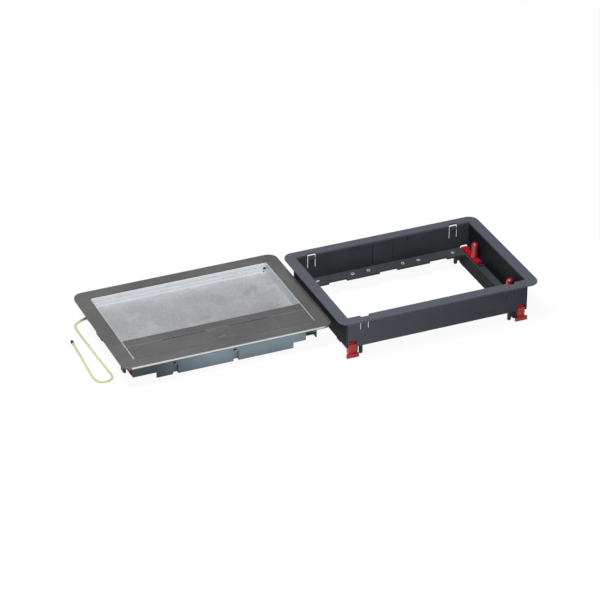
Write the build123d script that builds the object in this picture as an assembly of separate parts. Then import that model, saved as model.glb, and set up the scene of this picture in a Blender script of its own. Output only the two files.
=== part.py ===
from build123d import *
import math
import os

# Floor socket box: a floor-mounting base frame with four clamps, and its cover unit
# standing beside it with a hinged tray lid. All sizes are in millimetres.
# The frame's own zero is its front left corner on the ground, and so is the cover's.

# Base frame
FRAME_LENGTH = 340.0
FRAME_WIDTH = 240.0
FRAME_HEIGHT = 70.5
FLANGE_THICKNESS = 3.0
FLANGE_RADIUS = 16.0
FLANGE_ROUND = 1.0
WALL_INSET = 15.0
WALL_THICKNESS = 2.2
WALL_DROP = 52.9
LEDGE_DROP = 44.9
LEDGE_THICKNESS = 3.0
LEDGE_NARROW = 19.3
LEDGE_WIDE = 23.8
LEDGE_NOTCH = 31.0
RIB_INSET = 32.0
RIB_THICKNESS = 2.0
RIB_RADIUS = 12.0
TROUGH_FLOOR_LENGTH = 82.0
TROUGH_FLOOR_THICKNESS = 2.0
GROOVE_WIDTH = 1.2
GROOVE_DEPTH = 0.8
GROOVE_SHORT = 13.4
GROOVE_SHORT_SPREAD = 43.3
GROOVE_LONG_SPREAD = 17.9
GROOVE_SIDE_SPREAD = 30.5

# Fixing holes for the device supports
SUPPORT_COUNT = 3
SUPPORT_PITCH = 88.5
SUPPORT_HOLE_SPREAD = 30.4
SUPPORT_HOLE_INSET = 28.5
SUPPORT_HOLE_RADIUS = 2.1
NUT_POCKET_RADIUS = 4.2
NUT_POCKET_DEPTH = 1.8
DIMPLE_INSET = 24.0
DIMPLE_RADIUS = 1.2
DIMPLE_DEPTH = 1.5

# Snap tabs that hold the cover
TAB_INSET = 45.3
TAB_WIDTH = 11.3
TAB_SLOT = 1.6
TAB_LENGTH = 25.0
TAB_GAP = 2.6
TAB_HOOK_HEIGHT = 6.0
TAB_HOOK_REACH = 1.5

# Feet under the ledges
FOOT_INSET_X = 41.9
FOOT_INSET_Y = 22.0
FOOT_RADIUS = 3.15

# Rocking clamps
CLAMP_X = 25.0
CLAMP_PIVOT_Y = 21.5
CLAMP_PIVOT_Z = 24.0
CLAMP_PIN_RADIUS = 1.25
CLAMP_SCREW_Y = 57.0
CLAMP_END_Y = 76.0
CLAMP_BAR_WIDTH = 9.0
CLAMP_BAR_HEIGHT = 5.0
CLAMP_BAR_TOP = 26.5
CLAMP_BAR_START = 16.0
CLAMP_PLATE_WIDTH = 12.6
CLAMP_PLATE_THICKNESS = 2.2
CLAMP_PLATE_TOP = 23.0
CLAMP_PLATE_PROUD = 0.8
CLAMP_CHEEK_THICKNESS = 2.2
CLAMP_CHEEK_BACK = 23.8
CLAMP_CHEEK_SLOPE = 5.6
CLAMP_JAW_WIDTH = 20.9
CLAMP_JAW_Y = 12.0
CLAMP_JAW_DEPTH = 3.1
CLAMP_JAW_BOTTOM = 0.4
CLAMP_JAW_HEIGHT = 6.5
CLAMP_JAW_ROUND = 1.0
CLAMP_TAB_HEIGHT = 2.4
CLAMP_TAB_LENGTH = 6.0
ARCH_GAP = 0.5
ARCH_HEADROOM = 2.1
KNOB_RADIUS = 6.3
KNOB_TOP_RADIUS = 5.4
KNOB_TOP = 53.5
KNOB_DOME = 4.9
KNOB_SLOT_WIDTH = 1.4
KNOB_SLOT_DEPTH = 1.6
STUD_RADIUS = 2.0
STUD_BOTTOM = 8.0
STUD_ROOT = 12.0
STUD_WEB_BOTTOM = 9.0
STUD_WEB_TOP = 12.0
STUD_WEB_INSET = 19.5
STUD_WEB_LENGTH = 14.0
STUD_SLOT_WIDTH = 5.0
STUD_SLOT_LENGTH = 8.6
STUD_SLOT_SHIFT = 1.3

# Where the cover stands beside the frame
COVER_TUCK = 11.9
COVER_SHIFT_Y = 55.7

# Cover rim and chassis
COVER_LENGTH = 345.0
COVER_WIDTH = 245.0
COVER_HEIGHT = 40.0
COVER_RADIUS = 16.0
RIM_WIDTH = 22.0
RIM_THICKNESS = 1.5
RIM_LIP_HEIGHT = 3.8
RIM_LIP_THICKNESS = 1.5
GASKET_WIDTH = 5.8
GASKET_THICKNESS = 2.3
CHASSIS_INSET = 20.0
CHASSIS_WALL = 2.0
CHASSIS_FLANGE_INSET = 8.0
CHASSIS_FLANGE_THICKNESS = 2.0
CHASSIS_SHALLOW = 9.5
CHASSIS_DEEP_LEFT = 58.6
CHASSIS_DEEP_RIGHT = 285.0
CHASSIS_END_CUT = 19.0
CHASSIS_END_HEIGHT = 30.0
CHASSIS_SLOTS = (89.5, 189.0)
CHASSIS_SLOT_WIDTH = 8.5
CHASSIS_SLOT_HEIGHT = 18.0
CHASSIS_SLOT_STEP = 3.0
CHASSIS_SLOT_RISE = 8.0
POCKET_DEPTH = 4.0
POCKET_WALL = 1.5
LEDGE_WIDTH = 5.0
LEDGE_PLATE = 2.0
LEDGE_SIDE_LENGTH = 90.0
SEAL_WIDTH = 3.6
SEAL_THICKNESS = 1.6
RUNNING_GAP = 0.3

# Lid with its tray
LID_GAP = 0.8
STRIP_FRONT_GAP = 0.35
LID_BACK_GAP = 1.2
LID_BACK_BEVEL = 1.0
LID_DEPTH = 20.4
STRIP_DEPTH = 57.0
STRIP_THICKNESS = 1.6
TRAY_DEPTH = 17.5
TRAY_FLOOR = 1.3
TRAY_WALL = 1.6
TRAY_LIP = 6.0
WALL_GROOVE = 0.8
WALL_GROOVE_DEPTH = 0.4
WALL_GROOVE_DROPS = (5.0, 10.5)
HINGE_INSET = 3.5
HINGE_DROP = 3.0
HINGE_PIN_RADIUS = 1.25
HINGE_BOSS = 8.0
HINGE_PLAY = 0.05
RIVET_RADIUS = 1.5
RIVET_HEAD = 0.7
RIVET_INSET = 3.4
RIVET_DROPS = (9.5, 15.5)
STIFFENER_WIDTH = 12.0
STIFFENER_HEIGHT = 5.5
STIFFENER_WALL = 1.2
STIFFENER_INSET = 34.0
STIFFENER_SPREAD = 32.0
FRONT_FRAME_WALL = 2.0
FRONT_FRAME_DECK = 2.0

# Cable flaps in the front strip
FLAP_OFFSET = 19.0
FLAP_WIDTH = 72.0
FLAP_GAP = 0.3
FLAP_BARREL_RADIUS = 2.6
FLAP_PIVOT_Y = 58.0
FLAP_PIN_RADIUS = 0.8
FLAP_PIN_REACH = 1.8

# Lid latch
BUTTON_WIDTH = 31.0
BUTTON_FRONT = 24.5
BUTTON_DEPTH = 29.5
BUTTON_GAP = 0.3
BUTTON_TRAVEL = 2.5
STEM_WIDTH = 8.0
STEM_FRONT = 36.0
STEM_BACK = 44.0
STEM_LENGTH = 7.4
DASH_LENGTH = 12.0
DASH_WIDTH = 1.8
DASH_HEIGHT = 0.4
BOLT_WIDTH = 14.0
BOLT_HEIGHT = 3.2
BOLT_BOTTOM = 28.3
BOLT_TIP = 20.6
BOLT_TRAVEL = 3.5
BOLT_GAP = 0.4
BOLT_REAR_WALL = 2.0
SPRING_Y = 50.6
SPRING_RADIUS = 2.2
SPRING_WIRE = 0.35
SPRING_TURNS = 5

# Fixings on the cover
SCREW_INSET = 13.5
SCREW_HEAD_RADIUS = 3.2
SCREW_HEAD_HEIGHT = 2.4
SCREW_RADIUS = 1.5
SCREW_PLAY = 0.1
CLIP_REACH = 4.7
CLIP_LENGTH = 23.0
CLIP_Y = 162.5
CLIP_BOTTOM = 0.6
CLIP_TOP = 32.0
LEG_Y = 56.0
LEG_LENGTH = 10.0
LEG_REACH = 5.0
CATCH_PLACES = (31.0, 188.0)
CATCH_LENGTH = 9.0
CATCH_REACH = 6.0
CATCH_BOTTOM = 11.0
CATCH_HEIGHT = 9.0
CATCH_SHANK = 8.0
CATCH_THICKNESS = 1.4

# Earth terminal and its wire
EARTH_Y = 219.5
EARTH_TAB_WIDTH = 11.0
EARTH_TAB_THICKNESS = 1.2
EARTH_TAB_BOTTOM = 1.4
EARTH_TAB_TOP = 30.0
EARTH_SCREW_Z = 6.6
EARTH_SCREW_SHIFT = 2.3
LUG_THICKNESS = 1.0
WIRE_RADIUS = 1.8
BARREL_RADIUS = 2.5
LUG_RISE = 4.5
WIRE_CAP_LENGTH = 7.0
WIRE_CAP_WALL = 0.4
WIRE_CAP_PLAY = 0.05

# The wire's route beside the cover, from the earth terminal to its free end
WIRE_ROUTE = [
    (13.3, 222.5, 4.6),
    (-6.8, 221.0, 2.0),
    (-8.6, 191.0, 1.9),
    (-6.9, 150.0, 1.9),
    (-5.6, 105.0, 1.9),
    (-3.4, 66.0, 1.9),
    (-2.9, 43.0, 1.9),
    (-16.8, 35.2, 1.9),
    (-31.3, 43.0, 1.9),
    (-31.6, 66.0, 1.9),
    (-30.2, 100.0, 2.0),
    (-28.2, 135.0, 2.2),
    (-27.0, 168.4, 2.4),
]

# Places worked out from the sizes above
WALL_INNER = WALL_INSET + WALL_THICKNESS
WALL_BOTTOM = FRAME_HEIGHT - WALL_DROP
LEDGE_TOP = FRAME_HEIGHT - LEDGE_DROP
LEDGE_BOTTOM = LEDGE_TOP - LEDGE_THICKNESS
FLANGE_BOTTOM = FRAME_HEIGHT - FLANGE_THICKNESS
RIB_INNER = RIB_INSET + RIB_THICKNESS
CLAMP_BAR_BOTTOM = CLAMP_BAR_TOP - CLAMP_BAR_HEIGHT
CLAMP_PLATE_FRONT = WALL_INSET - CLAMP_PLATE_PROUD
CLAMP_PLATE_BACK = CLAMP_PLATE_FRONT + CLAMP_PLATE_THICKNESS

RIM_BOTTOM = COVER_HEIGHT - RIM_THICKNESS
LIP_BOTTOM = COVER_HEIGHT - RIM_LIP_HEIGHT
CHASSIS_FLANGE_BOTTOM = RIM_BOTTOM - CHASSIS_FLANGE_THICKNESS
CHASSIS_INNER = CHASSIS_INSET + CHASSIS_WALL
LID_LEFT = RIM_WIDTH + LID_GAP
LID_RIGHT = COVER_LENGTH - LID_LEFT
LID_FRONT = RIM_WIDTH + LID_GAP
STRIP_FRONT = RIM_WIDTH + STRIP_FRONT_GAP
LID_BACK = COVER_WIDTH - RIM_WIDTH - LID_BACK_GAP
LID_BOTTOM = COVER_HEIGHT - LID_DEPTH
TRAY_LEFT = LID_LEFT + TRAY_WALL
TRAY_RIGHT = COVER_LENGTH - TRAY_LEFT
TRAY_FRONT = RIM_WIDTH + STRIP_DEPTH
TRAY_BACK = LID_BACK - TRAY_WALL
TRAY_TOP = COVER_HEIGHT - TRAY_DEPTH
FLOOR_BOTTOM = TRAY_TOP - TRAY_FLOOR
STRIP_BOTTOM = COVER_HEIGHT - STRIP_THICKNESS
SEAL_TOP = LID_BOTTOM - RUNNING_GAP
CHASSIS_LEDGE_TOP = SEAL_TOP - SEAL_THICKNESS
HINGE_Y = COVER_WIDTH - RIM_WIDTH - HINGE_INSET
HINGE_Z = COVER_HEIGHT - HINGE_DROP
LID_MIDDLE = COVER_LENGTH / 2
FLAP_PIVOT_Z = COVER_HEIGHT - FLAP_BARREL_RADIUS
STEM_BOTTOM = STRIP_BOTTOM - STEM_LENGTH
BOLT_TOP = BOLT_BOTTOM + BOLT_HEIGHT
LATCH_DECK_TOP = BOLT_BOTTOM - RUNNING_GAP

COVER_X = COVER_TUCK - COVER_LENGTH
WHOLE_LEFT = COVER_X
WHOLE_RIGHT = FRAME_LENGTH
WHOLE_FRONT = 0.0
WHOLE_BACK = COVER_SHIFT_Y + COVER_WIDTH
FRAME_PLACE = Pos(-(WHOLE_LEFT + WHOLE_RIGHT) / 2, -(WHOLE_FRONT + WHOLE_BACK) / 2, 0)
COVER_PLACE = FRAME_PLACE * Pos(COVER_X, COVER_SHIFT_Y, 0)


def block(x, y, z):
    """A box between two limits on each axis."""
    low = (min(x), min(y), min(z))
    size = (abs(x[1] - x[0]), abs(y[1] - y[0]), abs(z[1] - z[0]))
    return Pos(*low) * Box(*size, align=Align.MIN)


def rod_x(x, y, z, radius):
    """A round bar along X."""
    turned = Rot(0, 90, 0) * Cylinder(radius, x[1] - x[0], align=(Align.CENTER, Align.CENTER, Align.MIN))
    return Pos(x[0], y, z) * turned


def rod_z(x, y, z, radius):
    """A round bar along Z."""
    return Pos(x, y, z[0]) * Cylinder(radius, z[1] - z[0], align=(Align.CENTER, Align.CENTER, Align.MIN))


def rounded_plate(length, width, radius, inset, z):
    """A plate with round corners, inset from a rectangle that starts at zero."""
    outline = RectangleRounded(length - 2 * inset, width - 2 * inset, max(radius - inset, 1.0))
    return extrude(Pos(length / 2, width / 2, z[0]) * outline, z[1] - z[0])


def side_copies(piece, length):
    """The piece and its mirror copy on the other side of a length along X."""
    return [piece, mirror(piece, Plane.YZ.offset(length / 2))]


def end_copies(piece, width):
    """The piece and its mirror copy at the other end of a width along Y."""
    return [piece, mirror(piece, Plane.XZ.offset(-width / 2))]


def corner_copies(piece, length, width):
    """The piece in all four corners, front left, front right, back left and back right."""
    return [copy for one in end_copies(piece, width) for copy in side_copies(one, length)]


def turned_copy(piece, length, width):
    """The piece turned half way round about the middle of a length and a width."""
    return Pos(length, width, 0) * Rot(0, 0, 180) * piece


def support_centres():
    """X of each device support's middle."""
    first = FRAME_LENGTH / 2 - SUPPORT_PITCH * (SUPPORT_COUNT - 1) / 2
    return [first + SUPPORT_PITCH * number for number in range(SUPPORT_COUNT)]


def frame_ledge():
    """The front ledge that carries the device supports, narrow at each support's middle."""
    z = (LEDGE_BOTTOM, LEDGE_TOP)
    ledge = block((RIB_INSET, FRAME_LENGTH - RIB_INSET), (WALL_INSET, WALL_INNER + LEDGE_WIDE), z)
    for centre in support_centres():
        x = (centre - LEDGE_NOTCH / 2, centre + LEDGE_NOTCH / 2)
        ledge -= block(x, (WALL_INNER + LEDGE_NARROW, FRAME_WIDTH / 2), (z[0] - 1, z[1] + 1))
        for side in (-1, 1):
            hole_x = centre + side * SUPPORT_HOLE_SPREAD
            ledge -= rod_z(hole_x, SUPPORT_HOLE_INSET, (z[0] - 1, z[1] + 1), SUPPORT_HOLE_RADIUS)
            pocket_z = (z[0] - 1, z[0] + NUT_POCKET_DEPTH)
            ledge -= rod_z(hole_x, SUPPORT_HOLE_INSET, pocket_z, NUT_POCKET_RADIUS)
        ledge -= rod_z(centre, DIMPLE_INSET, (z[1] - DIMPLE_DEPTH, z[1] + 1), DIMPLE_RADIUS)
    return ledge


def frame_rib():
    """The left trough's inner wall, which stands on the ground and is rounded at its ends."""
    span = FRAME_WIDTH - 2 * WALL_INSET
    outline = Pos(0, LEDGE_TOP / 2) * Rectangle(span, LEDGE_TOP)
    low = outline.vertices().sort_by(Axis.Y)[:2]
    outline = fillet(low, RIB_RADIUS)
    turned = Plane(origin=(RIB_INSET, FRAME_WIDTH / 2, 0), x_dir=(0, 1, 0), z_dir=(1, 0, 0))
    return extrude(turned * outline, RIB_THICKNESS)


def stud_web():
    """The shelf low on a rib's outer side that a clamp's stud is screwed into."""
    y = (CLAMP_SCREW_Y - STUD_WEB_LENGTH / 2, CLAMP_SCREW_Y + STUD_WEB_LENGTH / 2)
    web = block((STUD_WEB_INSET, RIB_INSET), y, (STUD_WEB_BOTTOM, STUD_WEB_TOP))
    slot = SlotOverall(STUD_SLOT_LENGTH, STUD_SLOT_WIDTH, rotation=90)
    middle = Pos(CLAMP_X, CLAMP_SCREW_Y - STUD_SLOT_SHIFT, STUD_WEB_BOTTOM - 1)
    return web - extrude(middle * slot, STUD_WEB_TOP - STUD_WEB_BOTTOM + 2)


def clamp_arch():
    """The arched doorway in the front wall that a clamp's bar passes through."""
    half = CLAMP_PLATE_WIDTH / 2 + ARCH_GAP
    top = CLAMP_BAR_TOP + ARCH_HEADROOM
    height = top - WALL_BOTTOM + 1
    outline = Pos(0, height / 2) * Rectangle(2 * half, height)
    outline = fillet(outline.vertices().sort_by(Axis.Y)[-2:], half * 0.5)
    turned = Plane(origin=(CLAMP_X, WALL_INNER + 1, WALL_BOTTOM - 1), x_dir=(1, 0, 0), z_dir=(0, -1, 0))
    return extrude(turned * outline, WALL_THICKNESS + 2)


def tab_cuts():
    """The slots that free a snap tab in the front wall."""
    y = (WALL_INSET - 1, WALL_INNER + 1)
    z = (FRAME_HEIGHT - TAB_LENGTH, FRAME_HEIGHT + 1)
    half = TAB_WIDTH / 2
    cuts = [
        block((TAB_INSET - half - TAB_SLOT, TAB_INSET - half), y, z),
        block((TAB_INSET + half, TAB_INSET + half + TAB_SLOT), y, z),
        block(
            (TAB_INSET - half - TAB_SLOT, TAB_INSET + half + TAB_SLOT),
            (WALL_INNER - TAB_GAP - WALL_THICKNESS, WALL_INNER + 1),
            (FLANGE_BOTTOM - 0.1, FRAME_HEIGHT + 1),
        ),
    ]
    return cuts


def tab_hook():
    """The wedge at a snap tab's free end that a cover's catch clicks under."""
    top = FLANGE_BOTTOM - 0.1
    plane = Plane(origin=(TAB_INSET - TAB_WIDTH / 2, WALL_INNER, 0), x_dir=(0, 1, 0), z_dir=(1, 0, 0))
    with BuildSketch(plane) as face:
        with BuildLine():
            Polyline(
                (-0.5, top),
                (0, top),
                (TAB_HOOK_REACH, top - TAB_HOOK_HEIGHT),
                (-0.5, top - TAB_HOOK_HEIGHT),
                close=True,
            )
        make_face()
    return extrude(face.sketch, TAB_WIDTH)


def wall_grooves():
    """Grooves in the front wall's inner face that mark the supports' places."""
    middle = FRAME_LENGTH / 2
    y = (WALL_INNER - GROOVE_DEPTH, WALL_INNER + 1)
    cuts = []
    for spread, drop in ((GROOVE_SHORT_SPREAD, GROOVE_SHORT), (GROOVE_LONG_SPREAD, LEDGE_DROP - 1)):
        for side in (-1, 1):
            x = middle + side * spread
            z = (FRAME_HEIGHT - drop, FRAME_HEIGHT + 1)
            cuts.append(block((x - GROOVE_WIDTH / 2, x + GROOVE_WIDTH / 2), y, z))
    return cuts


def side_groove():
    """One short groove in the left wall's inner face."""
    x = (WALL_INNER - GROOVE_DEPTH, WALL_INNER + 1)
    middle = FRAME_WIDTH / 2 - GROOVE_SIDE_SPREAD
    y = (middle - GROOVE_WIDTH / 2, middle + GROOVE_WIDTH / 2)
    return block(x, y, (FRAME_HEIGHT - GROOVE_SHORT, FRAME_HEIGHT + 1))


def base_frame():
    """The moulded frame: flange, walls, ledges, clamp troughs and snap tabs."""
    flange = rounded_plate(FRAME_LENGTH, FRAME_WIDTH, FLANGE_RADIUS, 0, (FLANGE_BOTTOM, FRAME_HEIGHT))
    outer = block(
        (WALL_INSET, FRAME_LENGTH - WALL_INSET),
        (WALL_INSET, FRAME_WIDTH - WALL_INSET),
        (WALL_BOTTOM, FRAME_HEIGHT),
    )
    well = block(
        (WALL_INNER, FRAME_LENGTH - WALL_INNER),
        (WALL_INNER, FRAME_WIDTH - WALL_INNER),
        (WALL_BOTTOM - 1, FRAME_HEIGHT + 1),
    )
    flange = fillet(flange.faces().sort_by(Axis.Z)[-1].edges(), FLANGE_ROUND)
    frame = flange + outer - well
    for ledge in end_copies(frame_ledge(), FRAME_WIDTH):
        frame += ledge
    half = TROUGH_FLOOR_LENGTH / 2
    web = block(
        (WALL_INSET, RIB_INNER),
        (FRAME_WIDTH / 2 - half, FRAME_WIDTH / 2 + half),
        (WALL_BOTTOM, WALL_BOTTOM + TROUGH_FLOOR_THICKNESS),
    )
    for piece in side_copies(frame_rib(), FRAME_LENGTH) + side_copies(web, FRAME_LENGTH):
        frame += piece
    for piece in corner_copies(stud_web(), FRAME_LENGTH, FRAME_WIDTH):
        frame += piece
    for piece in corner_copies(tab_hook(), FRAME_LENGTH, FRAME_WIDTH):
        frame += piece
    cuts = [clamp_arch(), side_groove()] + tab_cuts()
    pin_hole = rod_x((WALL_INNER - 1.6, RIB_INNER + 1), CLAMP_PIVOT_Y, CLAMP_PIVOT_Z, CLAMP_PIN_RADIUS)
    cuts.append(pin_hole)
    for cut in cuts:
        for piece in corner_copies(cut, FRAME_LENGTH, FRAME_WIDTH):
            frame -= piece
    for cut in wall_grooves():
        for piece in end_copies(cut, FRAME_WIDTH):
            frame -= piece
    return [frame]


def support_feet():
    """Four round feet under the ledges' ends, with domed tips on the ground."""
    foot = rod_z(FOOT_INSET_X, FOOT_INSET_Y, (0, LEDGE_BOTTOM), FOOT_RADIUS)
    foot = fillet(foot.edges().sort_by(Axis.Z)[0], FOOT_RADIUS * 0.8)
    return corner_copies(foot, FRAME_LENGTH, FRAME_WIDTH)


def clamp_pins():
    """The pins that the clamps rock on, held by the side walls and the ribs."""
    pin = rod_x((WALL_INNER - 1.5, RIB_INNER), CLAMP_PIVOT_Y, CLAMP_PIVOT_Z, CLAMP_PIN_RADIUS)
    return corner_copies(pin, FRAME_LENGTH, FRAME_WIDTH)


def clamp_cheek(x):
    """A side wall of a clamp's claw, from its plate back to the pin it rocks on."""
    outline = [
        (CLAMP_PLATE_FRONT, CLAMP_JAW_BOTTOM),
        (CLAMP_PLATE_FRONT, CLAMP_PLATE_TOP),
        (CLAMP_PIVOT_Y - CLAMP_CHEEK_THICKNESS - 1.2, CLAMP_PLATE_TOP),
        (CLAMP_PIVOT_Y - CLAMP_CHEEK_THICKNESS, CLAMP_BAR_TOP),
        (CLAMP_CHEEK_BACK, CLAMP_BAR_TOP),
        (CLAMP_CHEEK_BACK, CLAMP_JAW_BOTTOM + CLAMP_CHEEK_SLOPE),
        (CLAMP_CHEEK_BACK - CLAMP_CHEEK_SLOPE, CLAMP_JAW_BOTTOM),
    ]
    side = Plane(origin=(x, 0, 0), x_dir=(0, 1, 0), z_dir=(1, 0, 0))
    return extrude(side * make_face(Polyline(*outline, close=True)), CLAMP_CHEEK_THICKNESS)


def clamp_lever():
    """A front left clamp: bar in the trough, claw in the arch, jaw under the floor."""
    half = CLAMP_BAR_WIDTH / 2
    bar = block(
        (CLAMP_X - half, CLAMP_X + half),
        (CLAMP_BAR_START, CLAMP_END_Y),
        (CLAMP_BAR_BOTTOM, CLAMP_BAR_TOP),
    )
    bar = fillet(bar.edges().filter_by(Axis.X).group_by(Axis.Z)[-1].sort_by(Axis.Y)[0], 2.0)
    plate_half = CLAMP_PLATE_WIDTH / 2
    plate = block(
        (CLAMP_X - plate_half, CLAMP_X + plate_half),
        (CLAMP_PLATE_FRONT, CLAMP_PLATE_BACK),
        (CLAMP_JAW_BOTTOM, CLAMP_PLATE_TOP),
    )
    left = clamp_cheek(CLAMP_X - plate_half)
    right = clamp_cheek(CLAMP_X + plate_half - CLAMP_CHEEK_THICKNESS)
    jaw = block(
        (CLAMP_X - CLAMP_JAW_WIDTH / 2, CLAMP_X + CLAMP_JAW_WIDTH / 2),
        (CLAMP_JAW_Y, CLAMP_JAW_Y + CLAMP_JAW_DEPTH),
        (CLAMP_JAW_BOTTOM, CLAMP_JAW_BOTTOM + CLAMP_JAW_HEIGHT),
    )
    jaw = fillet(jaw.edges().filter_by(Axis.Z).group_by(Axis.Y)[0], CLAMP_JAW_ROUND)
    tab = block(
        (CLAMP_X - half + 1, CLAMP_X + half - 1),
        (CLAMP_END_Y - CLAMP_TAB_LENGTH, CLAMP_END_Y),
        (CLAMP_BAR_TOP, CLAMP_BAR_TOP + CLAMP_TAB_HEIGHT),
    )
    tab = chamfer(tab.edges().filter_by(Axis.X).group_by(Axis.Z)[-1].sort_by(Axis.Y)[0], 2.0)
    lever = bar + plate + left + right + jaw + tab
    lever -= rod_x((0, RIB_INNER), CLAMP_PIVOT_Y, CLAMP_PIVOT_Z, CLAMP_PIN_RADIUS + HINGE_PLAY)
    lever -= rod_z(CLAMP_X, CLAMP_SCREW_Y, (0, FRAME_HEIGHT), STUD_RADIUS + HINGE_PLAY)
    return lever


def clamp_knob():
    """A clamp screw's tall domed head, with a screwdriver slot across its top."""
    height = KNOB_TOP - CLAMP_BAR_TOP
    middle = Pos(CLAMP_X, CLAMP_SCREW_Y, CLAMP_BAR_TOP + height / 2)
    knob = middle * Cone(KNOB_RADIUS, KNOB_TOP_RADIUS, height)
    knob = fillet(knob.edges().sort_by(Axis.Z)[-1], KNOB_DOME)
    slot = block(
        (CLAMP_X - KNOB_RADIUS, CLAMP_X + KNOB_RADIUS),
        (CLAMP_SCREW_Y - KNOB_SLOT_WIDTH / 2, CLAMP_SCREW_Y + KNOB_SLOT_WIDTH / 2),
        (KNOB_TOP - KNOB_SLOT_DEPTH, KNOB_TOP + 1),
    )
    socket = rod_z(CLAMP_X, CLAMP_SCREW_Y, (0, CLAMP_BAR_TOP + STUD_ROOT), STUD_RADIUS)
    return knob - slot - socket


def clamp_stud():
    """The steel stud moulded into a clamp's knob."""
    stud = rod_z(CLAMP_X, CLAMP_SCREW_Y, (STUD_BOTTOM, CLAMP_BAR_TOP + STUD_ROOT), STUD_RADIUS)
    return chamfer(stud.edges().sort_by(Axis.Z)[0], 0.6)


def rim_plate():
    """The cover's sheet rim with its turned-down edge, open in the middle for the lid."""
    plate = rounded_plate(COVER_LENGTH, COVER_WIDTH, COVER_RADIUS, 0, (LIP_BOTTOM, COVER_HEIGHT))
    plate = chamfer(plate.faces().sort_by(Axis.Z)[-1].edges(), 0.4)
    under = (LIP_BOTTOM - 1, RIM_BOTTOM)
    plate -= rounded_plate(COVER_LENGTH, COVER_WIDTH, COVER_RADIUS, RIM_LIP_THICKNESS, under)
    opening = block(
        (RIM_WIDTH, COVER_LENGTH - RIM_WIDTH),
        (RIM_WIDTH, COVER_WIDTH - RIM_WIDTH),
        (RIM_BOTTOM - 1, COVER_HEIGHT + 1),
    )
    return [plate - opening]


def rim_gasket():
    """The foam ring under the rim that seals it to the floor covering."""
    z = (RIM_BOTTOM - GASKET_THICKNESS, RIM_BOTTOM)
    outer = RIM_LIP_THICKNESS + 0.2
    ring = rounded_plate(COVER_LENGTH, COVER_WIDTH, COVER_RADIUS, outer, z)
    through = (z[0] - 1, z[1] + 1)
    ring -= rounded_plate(COVER_LENGTH, COVER_WIDTH, COVER_RADIUS, outer + GASKET_WIDTH, through)
    return [ring]


def rim_screw_places():
    """Centres of the screws that hold the rim to the chassis."""
    middle = COVER_LENGTH / 2
    spread = COVER_LENGTH / 4
    rows = [(middle - spread, SCREW_INSET), (middle + spread, SCREW_INSET)]
    rows += [(x, COVER_WIDTH - y) for x, y in rows]
    ends = [(SCREW_INSET, COVER_WIDTH * share) for share in (0.3, 0.75)]
    ends += [(COVER_LENGTH - x, y) for x, y in ends]
    return rows + ends


def rim_screws():
    """Pan-head screws that come up through the chassis flange."""
    screws = []
    for x, y in rim_screw_places():
        under = (CHASSIS_FLANGE_BOTTOM - SCREW_HEAD_HEIGHT, CHASSIS_FLANGE_BOTTOM)
        head = rod_z(x, y, under, SCREW_HEAD_RADIUS)
        head = fillet(head.edges().sort_by(Axis.Z)[0], 1.0)
        screws.append(head + rod_z(x, y, (CHASSIS_FLANGE_BOTTOM, RIM_BOTTOM), SCREW_RADIUS))
    return screws


def chassis_slots():
    """The stepped slots through the chassis' front wall."""
    y = (CHASSIS_INSET - 1, CHASSIS_INNER + 1)
    half = CHASSIS_SLOT_WIDTH / 2
    cuts = []
    for x in CHASSIS_SLOTS:
        cuts.append(block((x - half, x + half), y, (-1, CHASSIS_SLOT_HEIGHT)))
        narrow = (x - half, x + half - CHASSIS_SLOT_STEP)
        cuts.append(block(narrow, y, (CHASSIS_SLOT_HEIGHT - 1, CHASSIS_SLOT_HEIGHT + CHASSIS_SLOT_RISE)))
    return cuts


def slot_pockets():
    """Closed pockets behind the front wall's slots, under the seal's ledge."""
    z = (0, CHASSIS_LEDGE_TOP - LEDGE_PLATE + 0.1)
    half = CHASSIS_SLOT_WIDTH / 2
    back = CHASSIS_INNER + POCKET_DEPTH
    pockets = []
    for x in CHASSIS_SLOTS:
        outer = half + POCKET_WALL
        pocket = block((x - outer, x + outer), (CHASSIS_INNER - 0.1, back + POCKET_WALL), z)
        hollow = (z[0] - 1, z[1] - POCKET_WALL)
        pockets.append(pocket - block((x - half, x + half), (CHASSIS_INNER - 1, back), hollow))
    return pockets


def chassis_ledges():
    """Inner ledges that the lid's seals lie on: front, back and the middle of each side."""
    z = (CHASSIS_LEDGE_TOP - LEDGE_PLATE, CHASSIS_LEDGE_TOP)
    front = block(
        (CHASSIS_INNER, COVER_LENGTH - CHASSIS_INNER),
        (CHASSIS_INNER - 0.5, CHASSIS_INNER + LEDGE_WIDTH),
        z,
    )
    middle = COVER_WIDTH / 2
    left = block(
        (CHASSIS_INNER - 0.5, CHASSIS_INNER + LEDGE_WIDTH),
        (middle - LEDGE_SIDE_LENGTH / 2, middle + LEDGE_SIDE_LENGTH / 2),
        z,
    )
    return end_copies(front, COVER_WIDTH) + side_copies(left, COVER_LENGTH)


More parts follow.
